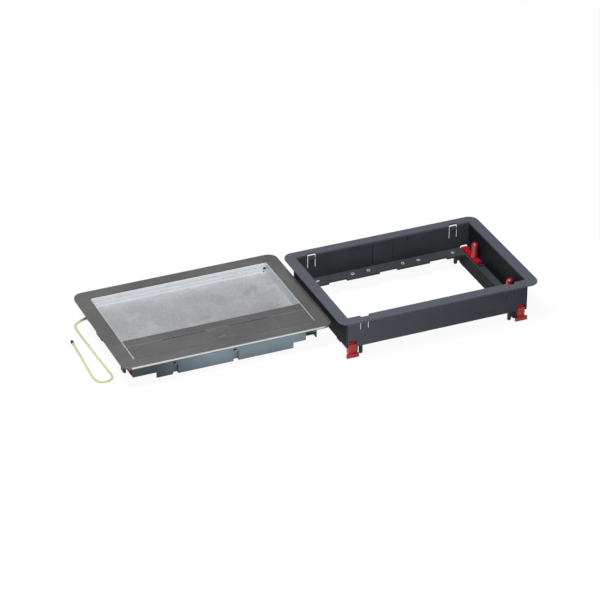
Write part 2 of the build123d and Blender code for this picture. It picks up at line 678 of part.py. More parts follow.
def cover_chassis():
    """The moulded skirt under the rim, open in the middle, with hinge bosses and ledges."""
    flange_z = (CHASSIS_FLANGE_BOTTOM, RIM_BOTTOM)
    chassis = rounded_plate(COVER_LENGTH, COVER_WIDTH, COVER_RADIUS, CHASSIS_FLANGE_INSET, flange_z)
    chassis += block(
        (CHASSIS_INSET, COVER_LENGTH - CHASSIS_INSET),
        (CHASSIS_INSET, COVER_WIDTH - CHASSIS_INSET),
        (0, RIM_BOTTOM),
    )
    chassis -= block(
        (CHASSIS_INNER, COVER_LENGTH - CHASSIS_INNER),
        (CHASSIS_INNER, COVER_WIDTH - CHASSIS_INNER),
        (-1, RIM_BOTTOM + 1),
    )
    across = (-1, COVER_WIDTH + 1)
    chassis -= block((-1, CHASSIS_DEEP_LEFT), across, (-1, CHASSIS_SHALLOW))
    chassis -= block((CHASSIS_DEEP_RIGHT, COVER_LENGTH + 1), across, (-1, CHASSIS_SHALLOW))
    end = block(
        (COVER_LENGTH - CHASSIS_INSET - CHASSIS_END_CUT, COVER_LENGTH),
        (0, CHASSIS_INNER + 0.01),
        (-1, CHASSIS_END_HEIGHT),
    )
    for cut in chassis_slots() + [end]:
        for piece in end_copies(cut, COVER_WIDTH):
            chassis -= piece
    for ledge in chassis_ledges():
        chassis += ledge
    for pocket in slot_pockets():
        for piece in end_copies(pocket, COVER_WIDTH):
            chassis += piece
    boss = block(
        (CHASSIS_INNER - HINGE_BOSS, CHASSIS_INNER),
        (HINGE_Y - 4.5, HINGE_Y + 4.5),
        (HINGE_Z - 4.0, RIM_BOTTOM),
    )
    for piece in side_copies(boss, COVER_LENGTH):
        chassis += piece
    for pin in hinge_pins():
        chassis -= pin
    keeper_half = BOLT_WIDTH / 2 + BOLT_GAP
    chassis -= block(
        (LID_MIDDLE - keeper_half, LID_MIDDLE + keeper_half),
        (CHASSIS_INSET - 1, CHASSIS_INNER + 0.5),
        (BOLT_BOTTOM - BOLT_GAP, BOLT_TOP + BOLT_GAP),
    )
    for x, y in rim_screw_places():
        chassis -= rod_z(x, y, (CHASSIS_FLANGE_BOTTOM - 1, RIM_BOTTOM + 1), SCREW_RADIUS + SCREW_PLAY)
    return [chassis]


def hinge_pins():
    """The two stub pins that the lid swings on."""
    pin = rod_x((CHASSIS_INNER - HINGE_BOSS + 1.5, TRAY_LEFT - 0.1), HINGE_Y, HINGE_Z, HINGE_PIN_RADIUS)
    return side_copies(pin, COVER_LENGTH)


def lid_seals():
    """Rubber strips on the chassis' ledges that the closed lid meets."""
    z = (CHASSIS_LEDGE_TOP, SEAL_TOP)
    low = CHASSIS_INNER + 0.6
    front = block((low, COVER_LENGTH - low), (low, low + SEAL_WIDTH), z)
    middle = COVER_WIDTH / 2
    half = LEDGE_SIDE_LENGTH / 2 - 1
    left = block((low, low + SEAL_WIDTH), (middle - half, middle + half), z)
    return end_copies(front, COVER_WIDTH) + side_copies(left, COVER_LENGTH)


def side_clips():
    """Spring clips and legs outside the chassis' side walls that grip the frame."""
    outer = CHASSIS_INSET - CLIP_REACH
    plane = Plane(origin=(0, CLIP_Y - CLIP_LENGTH / 2, 0), x_dir=(1, 0, 0), z_dir=(0, -1, 0))
    with BuildSketch(plane) as face:
        with BuildLine():
            Polyline(
                (CHASSIS_INSET, CLIP_TOP),
                (CHASSIS_INSET - 1.6, CLIP_TOP),
                (outer, 11.0),
                (outer, 4.0),
                (outer + 2.4, CLIP_BOTTOM),
                (CHASSIS_INSET, CLIP_BOTTOM),
                close=True,
            )
        make_face()
    clip = extrude(face.sketch, -CLIP_LENGTH)
    clip = fillet(clip.edges().filter_by(Axis.X).group_by(Axis.Z)[0], 4.0)
    leg = block(
        (CHASSIS_INSET - LEG_REACH, CHASSIS_INSET),
        (LEG_Y - LEG_LENGTH / 2, LEG_Y + LEG_LENGTH / 2),
        (CLIP_BOTTOM, CLIP_TOP),
    )
    leg = chamfer(leg.edges().filter_by(Axis.Y).group_by(Axis.Z)[0].sort_by(Axis.X)[0], 2.0)
    return [clip, leg] + [turned_copy(piece, COVER_LENGTH, COVER_WIDTH) for piece in (clip, leg)]


def retaining_catches():
    """Red catches outside the chassis' side walls that click under the frame's tabs."""
    plane = Plane(origin=(0, -CATCH_LENGTH / 2, 0), x_dir=(1, 0, 0), z_dir=(0, -1, 0))
    top = CATCH_BOTTOM + CATCH_HEIGHT
    with BuildSketch(plane) as face:
        with BuildLine():
            Polyline(
                (CHASSIS_INSET, CATCH_BOTTOM),
                (CHASSIS_INSET, top + CATCH_SHANK),
                (CHASSIS_INSET - CATCH_THICKNESS, top + CATCH_SHANK),
                (CHASSIS_INSET - CATCH_THICKNESS, top),
                (CHASSIS_INSET - CATCH_REACH, top),
                (CHASSIS_INSET - CATCH_THICKNESS, CATCH_BOTTOM),
                close=True,
            )
        make_face()
    catch = extrude(face.sketch, -CATCH_LENGTH)
    left = [Pos(0, y, 0) * catch for y in CATCH_PLACES]
    return left + [turned_copy(piece, COVER_LENGTH, COVER_WIDTH) for piece in left]


def earth_tab():
    """The steel strip that hangs from the chassis' left wall and takes the earth screw."""
    x = (CHASSIS_INSET - EARTH_TAB_THICKNESS, CHASSIS_INSET)
    y = (EARTH_Y - EARTH_TAB_WIDTH / 2, EARTH_Y + EARTH_TAB_WIDTH / 2)
    tab = block(x, y, (EARTH_TAB_BOTTOM, EARTH_TAB_TOP))
    tab -= rod_x((x[0] - 1, x[1] + 1), EARTH_Y - EARTH_SCREW_SHIFT, EARTH_SCREW_Z, SCREW_RADIUS + SCREW_PLAY)
    return [tab]


def earth_lug():
    """The crimped lug on the wire's end, flat against the tab."""
    face = CHASSIS_INSET - EARTH_TAB_THICKNESS
    lug = block(
        (face - LUG_THICKNESS, face),
        (EARTH_Y - EARTH_TAB_WIDTH / 2, EARTH_Y + EARTH_TAB_WIDTH / 2),
        (EARTH_TAB_BOTTOM, EARTH_SCREW_Z + LUG_RISE),
    )
    start = Vector(*WIRE_ROUTE[0])
    along = (start - Vector(*WIRE_ROUTE[1])).normalized()
    root = start + along * ((face - start.X) / along.X)
    length = (root - start).length
    barrel = extrude(Plane(origin=root - along * length, z_dir=along) * Circle(BARREL_RADIUS), length)
    lug += barrel & block((0, face), (0, COVER_WIDTH), (0, COVER_HEIGHT))
    hole_y = EARTH_Y - EARTH_SCREW_SHIFT
    return [lug - rod_x((0, CHASSIS_INSET), hole_y, EARTH_SCREW_Z, SCREW_RADIUS + SCREW_PLAY)]


def earth_screw():
    """The screw through lug and tab, with its nut behind."""
    face = CHASSIS_INSET - EARTH_TAB_THICKNESS - LUG_THICKNESS
    y = EARTH_Y - EARTH_SCREW_SHIFT
    screw = rod_x((face, CHASSIS_INSET + 3.5), y, EARTH_SCREW_Z, SCREW_RADIUS)
    screw += rod_x((face - 1.8, face), y, EARTH_SCREW_Z, 2.3)
    nut = Plane(origin=(CHASSIS_INSET + 0.0, y, EARTH_SCREW_Z), z_dir=(1, 0, 0)) * RegularPolygon(2.6, 6)
    return [screw + extrude(nut, 2.0)]


def wire_radii():
    """A bend radius for each corner of the wire's route, from the shorter run beside it."""
    points = [Vector(*point) for point in WIRE_ROUTE]
    radii = []
    for before, here, after in zip(points, points[1:], points[2:]):
        turn = math.radians((here - before).get_angle(after - here))
        shorter = min((here - before).length, (after - here).length)
        radii.append(0.45 * shorter / math.tan(turn / 2))
    return radii


def earth_wire():
    """The green and yellow wire, in its photographed loop beside the cover."""
    radii = wire_radii()
    route = FilletPolyline(*WIRE_ROUTE, radius=radii)
    section = Plane(origin=route @ 0, z_dir=route % 0) * Circle(WIRE_RADIUS)
    print("wire length", round(route.length, 1), "tightest bend", round(min(radii), 1))
    print("wire bends", [round(radius, 1) for radius in radii])
    return [sweep(section, path=route)]


def wire_cap():
    """The black cap on the wire's free end."""
    end = Vector(*WIRE_ROUTE[-1])
    along = (end - Vector(*WIRE_ROUTE[-2])).normalized()
    outer = WIRE_RADIUS + WIRE_CAP_PLAY + WIRE_CAP_WALL
    start = end - along * (WIRE_CAP_LENGTH - 1.0)
    cap = extrude(Plane(origin=start, z_dir=along) * Circle(outer), WIRE_CAP_LENGTH)
    centre = end - along * (WIRE_CAP_LENGTH + 1.0)
    bore = Plane(origin=centre, z_dir=along) * Circle(WIRE_RADIUS + WIRE_CAP_PLAY)
    return [cap - extrude(bore, WIRE_CAP_LENGTH + 1.0 + 0.1)]


def back_bevel():
    """The corner cut from the lid's top back edge so that it clears the rim as it swings."""
    across = LID_BACK_BEVEL * math.sqrt(2)
    corner = Box(COVER_LENGTH, across, across)
    return Pos(LID_MIDDLE, LID_BACK, COVER_HEIGHT) * Rot(45, 0, 0) * corner


def side_wall():
    """The lid's left wall: an extrusion with a floor lip and two grooves inside."""
    y = (LID_FRONT, LID_BACK)
    wall = block((LID_LEFT, TRAY_LEFT), y, (LID_BOTTOM, COVER_HEIGHT)) - back_bevel()
    wall += block((LID_LEFT, TRAY_LEFT + TRAY_LIP), (TRAY_FRONT, TRAY_BACK), (LID_BOTTOM, FLOOR_BOTTOM))
    for drop in WALL_GROOVE_DROPS:
        z = (COVER_HEIGHT - drop - WALL_GROOVE, COVER_HEIGHT - drop)
        wall -= block((TRAY_LEFT - WALL_GROOVE_DEPTH, TRAY_LEFT + 1), (TRAY_FRONT, TRAY_BACK), z)
    return wall - rod_x((0, TRAY_LEFT + 1), HINGE_Y, HINGE_Z, HINGE_PIN_RADIUS + HINGE_PLAY)


def tray_wall_back():
    """The lid's back wall, between the side walls."""
    x = (TRAY_LEFT, TRAY_RIGHT)
    wall = block(x, (TRAY_BACK, LID_BACK), (LID_BOTTOM, COVER_HEIGHT)) - back_bevel()
    lip_x = (TRAY_LEFT + TRAY_LIP, TRAY_RIGHT - TRAY_LIP)
    wall += block(lip_x, (TRAY_BACK - TRAY_LIP, TRAY_BACK), (LID_BOTTOM, FLOOR_BOTTOM))
    for drop in WALL_GROOVE_DROPS:
        z = (COVER_HEIGHT - drop - WALL_GROOVE, COVER_HEIGHT - drop)
        wall -= block(x, (TRAY_BACK - 1, TRAY_BACK + WALL_GROOVE_DEPTH), z)
    for rivet in tray_rivets():
        wall -= rivet
    return [wall]


def rivet_places():
    """X and Z of the rivets at the back wall's two ends."""
    return [
        (x, COVER_HEIGHT - drop)
        for x in (TRAY_LEFT + RIVET_INSET, TRAY_RIGHT - RIVET_INSET)
        for drop in RIVET_DROPS
    ]


def tray_rivets():
    """Dark rivets with flush heads that close the tray's back corners."""
    rivets = []
    for x, z in rivet_places():
        lay = Pos(x, TRAY_BACK, z) * Rot(-90, 0, 0)
        low = (Align.CENTER, Align.CENTER, Align.MIN)
        rivet = lay * Cylinder(RIVET_RADIUS, RIVET_HEAD, align=low)
        rivet += lay * Cylinder(RIVET_RADIUS / 2, TRAY_WALL, align=low)
        rivets.append(rivet)
    return rivets


def tray_floor():
    """The galvanised sheet at the bottom of the lid's tray."""
    return [block((TRAY_LEFT, TRAY_RIGHT), (TRAY_FRONT, TRAY_BACK), (FLOOR_BOTTOM, TRAY_TOP))]


def tray_stiffeners():
    """Channels under the tray's floor that carry the load of a foot."""
    channels = []
    middle = (TRAY_FRONT + TRAY_BACK) / 2
    x = (STIFFENER_INSET, COVER_LENGTH - STIFFENER_INSET)
    for side in (-1, 1):
        y = middle + side * STIFFENER_SPREAD
        half = STIFFENER_WIDTH / 2
        z = (FLOOR_BOTTOM - STIFFENER_HEIGHT, FLOOR_BOTTOM)
        channel = block(x, (y - half, y + half), z)
        inner = half - STIFFENER_WALL
        channel -= block((x[0] - 1, x[1] + 1), (y - inner, y + inner), (z[0] - 1, z[1] - STIFFENER_WALL))
        channels.append(channel)
    return channels


def flap_limits(side):
    """X limits of the left (-1) or right (1) flap's opening."""
    near = LID_MIDDLE + side * FLAP_OFFSET
    far = near + side * FLAP_WIDTH
    return min(near, far), max(near, far)


def lid_strip():
    """The brushed strip in front of the tray, cut out for two flaps and the latch button."""
    z = (STRIP_BOTTOM, COVER_HEIGHT)
    strip = block((TRAY_LEFT, TRAY_RIGHT), (STRIP_FRONT, TRAY_FRONT), z)
    through = (z[0] - 1, z[1] + 1)
    back = FLAP_PIVOT_Y + FLAP_BARREL_RADIUS + FLAP_GAP
    for side in (-1, 1):
        strip -= block(flap_limits(side), (STRIP_FRONT - 1, back), through)
    half = BUTTON_WIDTH / 2 + BUTTON_GAP
    y = (BUTTON_FRONT - BUTTON_GAP, BUTTON_FRONT + BUTTON_DEPTH + BUTTON_GAP)
    strip -= block((LID_MIDDLE - half, LID_MIDDLE + half), y, through)
    return [strip]


def cable_flap(side):
    """A cable flap: plate flush with the strip, and a barrel along its back edge."""
    low, high = flap_limits(side)
    x = (low + FLAP_GAP, high - FLAP_GAP)
    flap = block(x, (STRIP_FRONT, FLAP_PIVOT_Y), (STRIP_BOTTOM, COVER_HEIGHT))
    flap += rod_x(x, FLAP_PIVOT_Y, FLAP_PIVOT_Z, FLAP_BARREL_RADIUS)
    rib = block((x[0] + 2, x[1] - 2), (LID_FRONT + 3, LID_FRONT + 4.5), (STRIP_BOTTOM - 2.0, STRIP_BOTTOM))
    flap += rib
    return flap - rod_x((x[0] - 1, x[1] + 1), FLAP_PIVOT_Y, FLAP_PIVOT_Z, FLAP_PIN_RADIUS + HINGE_PLAY)


def flap_pins():
    """The wires that the flaps turn on."""
    pins = []
    for side in (-1, 1):
        low, high = flap_limits(side)
        reach = (low - FLAP_PIN_REACH, high + FLAP_PIN_REACH)
        pins.append(rod_x(reach, FLAP_PIVOT_Y, FLAP_PIVOT_Z, FLAP_PIN_RADIUS))
    return pins


def lid_front_frame():
    """The moulding under the strip: walls, cable ways, latch bay and the tray's front wall."""
    wall = FRONT_FRAME_WALL
    x = (TRAY_LEFT, TRAY_RIGHT)
    y = (LID_FRONT, TRAY_FRONT)
    z = (LID_BOTTOM, STRIP_BOTTOM)
    frame = block(x, y, z)
    frame -= block((x[0] + wall, x[1] - wall), (y[0] + wall, y[1] - wall), (z[0] - 1, z[1] + 1))
    deck = (STRIP_BOTTOM - FRONT_FRAME_DECK, STRIP_BOTTOM)
    flap_back = FLAP_PIVOT_Y + FLAP_BARREL_RADIUS + FLAP_GAP
    frame += block(x, (flap_back, y[1]), deck)
    for side in (-1, 1):
        low, high = flap_limits(side)
        for edge in ((low - wall, low), (high, high + wall)):
            frame += block(edge, y, z)
        end = (x[0], low) if side < 0 else (high, x[1])
        frame += block(end, y, deck)
        front = (y[0] - 1, y[0] + wall + 1)
        frame -= block((low, high), front, (STRIP_BOTTOM - 6.0, z[1] + 1))
    half = BUTTON_WIDTH / 2 + BUTTON_GAP
    pocket = STRIP_BOTTOM - BUTTON_TRAVEL - RUNNING_GAP
    behind = (BUTTON_FRONT - BUTTON_GAP, BUTTON_FRONT + BUTTON_DEPTH)
    frame -= block((LID_MIDDLE - half, LID_MIDDLE + half), behind, (pocket, z[1] + 1))
    bay = (LID_MIDDLE - FLAP_OFFSET, LID_MIDDLE + FLAP_OFFSET)
    frame += block(bay, y, (LATCH_DECK_TOP - FRONT_FRAME_DECK, LATCH_DECK_TOP))
    half = BOLT_WIDTH / 2 + BOLT_GAP
    frame -= block(
        (LID_MIDDLE - half, LID_MIDDLE + half),
        (y[0] - 1, y[0] + wall + 1),
        (LATCH_DECK_TOP, BOLT_TOP + BOLT_GAP),
    )
    for guide in (-1, 1):
        near = LID_MIDDLE + guide * half
        frame += block((near, near + guide * wall), (y[0], STEM_BACK), (LATCH_DECK_TOP, BOLT_TOP))
    for pin in flap_pins():
        frame -= pin
    return [frame]


def latch_button():
    """The square push button, with a raised dash and a ramped stem underneath."""
    half = BUTTON_WIDTH / 2
    y = (BUTTON_FRONT, BUTTON_FRONT + BUTTON_DEPTH)
    button = block((LID_MIDDLE - half, LID_MIDDLE + half), y, (STRIP_BOTTOM, COVER_HEIGHT))
    plane = Plane(origin=(LID_MIDDLE - STEM_WIDTH / 2, 0, 0), x_dir=(0, 1, 0), z_dir=(1, 0, 0))
    ramp = BOLT_TRAVEL
    with BuildSketch(plane) as face:
        with BuildLine():
            Polyline(
                (STEM_FRONT, STRIP_BOTTOM + 0.1),
                (STEM_FRONT, STEM_BOTTOM),
                (STEM_BACK - ramp, STEM_BOTTOM),
                (STEM_BACK, STEM_BOTTOM + BUTTON_TRAVEL),
                (STEM_BACK, STRIP_BOTTOM + 0.1),
                close=True,
            )
        make_face()
    button += extrude(face.sketch, STEM_WIDTH)
    dash_y = sum(y) / 2 - 5.0
    button += block(
        (LID_MIDDLE - DASH_LENGTH / 2, LID_MIDDLE + DASH_LENGTH / 2),
        (dash_y - DASH_WIDTH / 2, dash_y + DASH_WIDTH / 2),
        (COVER_HEIGHT, COVER_HEIGHT + DASH_HEIGHT),
    )
    return button


def bolt_window():
    """Y limits of the bolt's window around the button's stem."""
    climb = (BOLT_TOP - STEM_BOTTOM) * BOLT_TRAVEL / BUTTON_TRAVEL
    back = STEM_BACK - BOLT_TRAVEL + climb + RUNNING_GAP
    return STEM_FRONT - BOLT_TRAVEL - 1.0, back


def latch_bolt():
    """The flat bolt that the stem's ramp draws back out of the chassis."""
    half = BOLT_WIDTH / 2
    front, back = bolt_window()
    length = (BOLT_TIP, back + BOLT_REAR_WALL)
    bolt = block((LID_MIDDLE - half, LID_MIDDLE + half), length, (BOLT_BOTTOM, BOLT_TOP))
    window = STEM_WIDTH / 2 + BOLT_GAP
    bolt -= block((LID_MIDDLE - window, LID_MIDDLE + window), (front, back), (BOLT_BOTTOM - 1, BOLT_TOP + 1))
    return chamfer(bolt.edges().filter_by(Axis.X).group_by(Axis.Z)[0].sort_by(Axis.Y)[0], 1.0)


def button_spring():
    """The coil that lifts the latch button."""
    height = STRIP_BOTTOM - LATCH_DECK_TOP - 2 * SPRING_WIRE - 0.1
    path = Helix(height / SPRING_TURNS, height, SPRING_RADIUS)
    section = Plane(origin=path @ 0, z_dir=path % 0) * Circle(SPRING_WIRE)
    coil = sweep(section, path=path, is_frenet=True)
    return [Pos(LID_MIDDLE, SPRING_Y, LATCH_DECK_TOP + SPRING_WIRE + 0.05) * coil]


CORNERS = ("front_left", "front_right", "back_left", "back_right")


def frame_nodes():
    """Every piece that belongs to the frame, in the frame's own zero."""
    nodes = {
        "base_frame": base_frame(),
        "support_feet": support_feet(),
        "clamp_pins": clamp_pins(),
    }
    for name, make in (("clamp_lever", clamp_lever), ("clamp_knob", clamp_knob), ("clamp_stud", clamp_stud)):
        front_left = make()
        front_right = Pos(FRAME_LENGTH - 2 * CLAMP_X, 0, 0) * front_left
        back_right = turned_copy(front_left, FRAME_LENGTH, FRAME_WIDTH)
        back_left = turned_copy(front_right, FRAME_LENGTH, FRAME_WIDTH)
        for corner, piece in zip(CORNERS, (front_left, front_right, back_left, back_right)):
            nodes[f"{name}_{corner}"] = [piece]
    return nodes


def cover_nodes():
    """Every piece that belongs to the cover unit, in the cover's own zero."""
    left_wall, right_wall = side_copies(side_wall(), COVER_LENGTH)
    return {
        "rim_plate": rim_plate(),
        "rim_gasket": rim_gasket(),
        "rim_screws": rim_screws(),
        "cover_chassis": cover_chassis(),
        "lid_hinge_pins": hinge_pins(),
        "lid_seals": lid_seals(),
        "side_clips": side_clips(),
        "retaining_catches": retaining_catches(),
        "earth_tab": earth_tab(),
        "earth_lug": earth_lug(),
        "earth_screw": earth_screw(),
        "earth_wire": earth_wire(),
        "wire_cap": wire_cap(),
        "lid_strip": lid_strip(),
        "lid_front_frame": lid_front_frame(),
        "tray_floor": tray_floor(),
        "tray_wall_left": [left_wall],
        "tray_wall_right": [right_wall],
        "tray_wall_back": tray_wall_back(),
        "tray_rivets": tray_rivets(),
        "tray_stiffeners": tray_stiffeners(),
        "cable_flap_left": [cable_flap(-1)],
        "cable_flap_right": [cable_flap(1)],
        "flap_pins": flap_pins(),
        "latch_button": [latch_button()],
        "latch_bolt": [latch_bolt()],
        "button_spring": button_spring(),
    }


def main():
    os.makedirs("parts", exist_ok=True)
    for nodes, place in ((frame_nodes(), FRAME_PLACE), (cover_nodes(), COVER_PLACE)):
        for name, pieces in nodes.items():
            solids = [solid for piece in pieces for solid in piece.solids()]
            whole = place * Compound(children=[Solid(solid.wrapped) for solid in solids])
            export_step(whole, f"parts/{name}.step")


main()
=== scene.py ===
# %% [markdown]
# A floor socket box comes in two units. The base frame is a dark moulding that
# drops into a cut-out in the floor and is gripped there by four red clamps. The
# cover unit is a brushed steel rim around a lid, whose tray takes a piece of the
# floor covering. Both stand side by side on a white table. The CAD pieces are
# loaded first, and everything below dresses them where they are.

# %% Load the measured pieces
import bpy
import math
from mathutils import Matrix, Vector


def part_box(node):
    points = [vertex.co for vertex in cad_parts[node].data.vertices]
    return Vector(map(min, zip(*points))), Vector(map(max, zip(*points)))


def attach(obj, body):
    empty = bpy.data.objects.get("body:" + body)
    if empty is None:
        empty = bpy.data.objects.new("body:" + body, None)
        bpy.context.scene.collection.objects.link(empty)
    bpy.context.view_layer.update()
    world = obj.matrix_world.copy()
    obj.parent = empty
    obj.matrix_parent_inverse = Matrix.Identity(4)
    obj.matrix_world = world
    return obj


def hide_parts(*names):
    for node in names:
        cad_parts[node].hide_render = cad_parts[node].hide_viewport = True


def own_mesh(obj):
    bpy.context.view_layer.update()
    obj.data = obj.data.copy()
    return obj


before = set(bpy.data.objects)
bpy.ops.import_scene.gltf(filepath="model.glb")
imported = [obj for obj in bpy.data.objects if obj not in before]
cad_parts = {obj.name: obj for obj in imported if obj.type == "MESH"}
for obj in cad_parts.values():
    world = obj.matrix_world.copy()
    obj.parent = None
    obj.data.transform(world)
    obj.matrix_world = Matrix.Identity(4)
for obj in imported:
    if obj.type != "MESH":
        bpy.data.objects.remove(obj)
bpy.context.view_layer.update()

# %% [markdown]
# The camera stands where the photographer's stood, found by fitting the straight
# edges of the frame and the rim. It is a long lens, far away, which is why the
# two units look almost the same size from front to back. Such a lens is set by
# its focal length in millimetres on a 36 mm sensor.

# %% Camera at the photograph's place
CAMERA_PLACE = (-1.5576, -3.6569, 2.3469)
CAMERA_HEADING = math.radians(-22.95)
CAMERA_DROP = math.radians(30.19)
CAMERA_LENS = 175.4

camera_data = bpy.data.cameras.new("camera")
camera_data.lens = CAMERA_LENS
camera_data.sensor_width = 36.0
camera_data.clip_end = 60.0
camera = bpy.data.objects.new("camera", camera_data)
camera.location = CAMERA_PLACE
camera.rotation_euler = (math.radians(90) - CAMERA_DROP, 0.0, CAMERA_HEADING)
bpy.context.scene.collection.objects.link(camera)
bpy.context.scene.camera = camera
print("camera distance in m", round(Vector(CAMERA_PLACE).length, 2))

# %% [markdown]
# The earth wire is shown from its lug to its capped end, so its length is the
# photographed one. A wire could be a mesh tube, but a NURBS curve is better: a
# few control points give the soft line that a limp wire takes, and the curve's
# own bevel gives it thickness. The order is set after the points are added,
# because before that the spline is too short for it and would stay a row of
# straight runs.

# %% Earth wire
COVER_CORNER = Vector((-0.33655, -0.09465, 0.0))
WIRE_DIAMETER = 0.0036
WIRE_ROUTE = [
    (0.0133, 0.2225, 0.0046),
    (-0.0068, 0.2210, 0.0020),
    (-0.0086, 0.1910, 0.0019),
    (-0.0069, 0.1500, 0.0019),
    (-0.0056, 0.1050, 0.0019),
    (-0.0034, 0.0660, 0.0019),
    (-0.0029, 0.0430, 0.0019),
    (-0.0168, 0.0352, 0.0019),
    (-0.0313, 0.0430, 0.0019),
    (-0.0316, 0.0660, 0.0019),
    (-0.0302, 0.1000, 0.0020),
    (-0.0282, 0.1350, 0.0022),
    (-0.0270, 0.1684, 0.0024),
]


def route_curve(name, points):
    """A curve object of one smooth spline with those control points."""
    data = bpy.data.curves.new(name, "CURVE")
    data.dimensions = "3D"
    spline = data.splines.new("NURBS")
    spline.points.add(len(points) - 1)
    for point, place in zip(spline.points, points):
        point.co = (*place, 1.0)
    spline.order_u = 3
    spline.use_endpoint_u = True
    data.resolution_u = 16
    spline.resolution_u = 16
    return bpy.data.objects.new(name, data)


wire_points = [COVER_CORNER + Vector(point) for point in WIRE_ROUTE]
bare_line = route_curve("wire_line", wire_points)
line_mesh = bpy.data.meshes.new_from_object(bare_line)
wire_path = [vertex.co.copy() for vertex in line_mesh.vertices]

# %% Give the wire its thickness
wire = route_curve("earth_wire_sheath", wire_points)
wire.data.bevel_depth = WIRE_DIAMETER / 2
wire.data.bevel_resolution = 4
wire.data.use_fill_caps = True
bpy.context.scene.collection.objects.link(wire)
print("wire diameter in mm", 1000 * WIRE_DIAMETER)

# %% [markdown]
# The wire's free end carries a small black cap, as a crimped sleeve. It starts as
# a cylinder at its size and place, turned along the wire's last run, which is
# then applied, so that the object itself sits at the origin. In edit mode the
# middle of each end is inset and pushed in, which leaves a rim, and a bevel
# softens every edge.

# %% Cap on the wire's free end
CAP_RADIUS = 0.00235
CAP_LENGTH = 0.0072
CAP_OVERHANG = 0.001
CAP_RIM = 0.00045
CAP_RECESS = 0.0006


def select_none():
    """Leaves edit mode with nothing selected, as every new piece needs."""
    if bpy.context.mode != "OBJECT":
        bpy.ops.object.mode_set(mode="OBJECT")
    bpy.ops.object.select_all(action="DESELECT")


def select_faces(piece, wanted):
    """In edit mode, selects just the faces that pass a test on their centre and normal."""
    bpy.ops.object.mode_set(mode="EDIT")
    bpy.ops.mesh.select_mode(type="FACE")
    bpy.ops.mesh.select_all(action="DESELECT")
    bpy.ops.object.mode_set(mode="OBJECT")
    for face in piece.data.polygons:
        face.select = wanted(face.center, face.normal)
    bpy.ops.object.mode_set(mode="EDIT")


def finish_modifier(piece, kind, **settings):
    """Adds a modifier and applies it at once."""
    modifier = piece.modifiers.new(kind.lower(), kind)
    for name, value in settings.items():
        setattr(modifier, name, value)
    bpy.context.view_layer.objects.active = piece
    bpy.ops.object.modifier_apply(modifier=modifier.name)


wire_end = wire_path[-1]
end_run = (wire_path[-1] - wire_path[-4]).normalized()
cap_centre = wire_end + end_run * (CAP_OVERHANG - CAP_LENGTH / 2)
select_none()
bpy.ops.mesh.primitive_cylinder_add(
    vertices=32, radius=CAP_RADIUS, depth=CAP_LENGTH, location=cap_centre,
    rotation=end_run.to_track_quat("Z", "Y").to_euler(),
)
cap = bpy.context.object
cap.name = "wire_end_cap"
bpy.ops.object.transform_apply(location=True, rotation=True, scale=True)
for direction in (1, -1):
    select_faces(cap, lambda centre, normal: normal.dot(end_run) * direction > 0.9)
    bpy.ops.mesh.inset(thickness=CAP_RIM, depth=0.0)
    inward = end_run * -direction * CAP_RECESS
    bpy.ops.mesh.extrude_region_move(TRANSFORM_OT_translate={"value": inward})
    select_none()
finish_modifier(cap, "BEVEL", width=0.00025, segments=2, limit_method="ANGLE")
bpy.ops.object.shade_smooth_by_angle(angle=math.radians(35))
print("cap faces", len(cap.data.polygons))

# %% [markdown]
# A shader is easier to read as arithmetic than as a web of boxes. `Signal` wraps
# one output socket and gives it plus, minus and times, also with a number in
# front. `Finish` holds a material's tree and makes every other node from its
# type, its settings and its inputs. Colours are written as they look on screen
# and turned to linear light, which is what a shader works in.

# %% Small shader language
def screen_colour(red, green, blue):
    """A colour picked on screen, 0 to 255, as linear light."""
    channels = []
    for value in (red, green, blue):
        share = value / 255
        linear = share / 12.92 if share <= 0.04045 else ((share + 0.055) / 1.055) ** 2.4
        channels.append(linear)
    return (*channels, 1.0)


class Signal:
    """One output socket with arithmetic."""

    def __init__(self, finish, socket):
        self.finish, self.socket = finish, socket

    def math(self, operation, first, second):
        settings = {"operation": operation}
        return self.finish.node("ShaderNodeMath", settings, {0: first, 1: second})

    def __add__(self, other):
        return self.math("ADD", self, other)

    def __sub__(self, other):
        return self.math("SUBTRACT", self, other)

    def __mul__(self, other):
        return self.math("MULTIPLY", self, other)

    def __rsub__(self, other):
        return self.math("SUBTRACT", other, self)

    __radd__ = __add__
    __rmul__ = __mul__


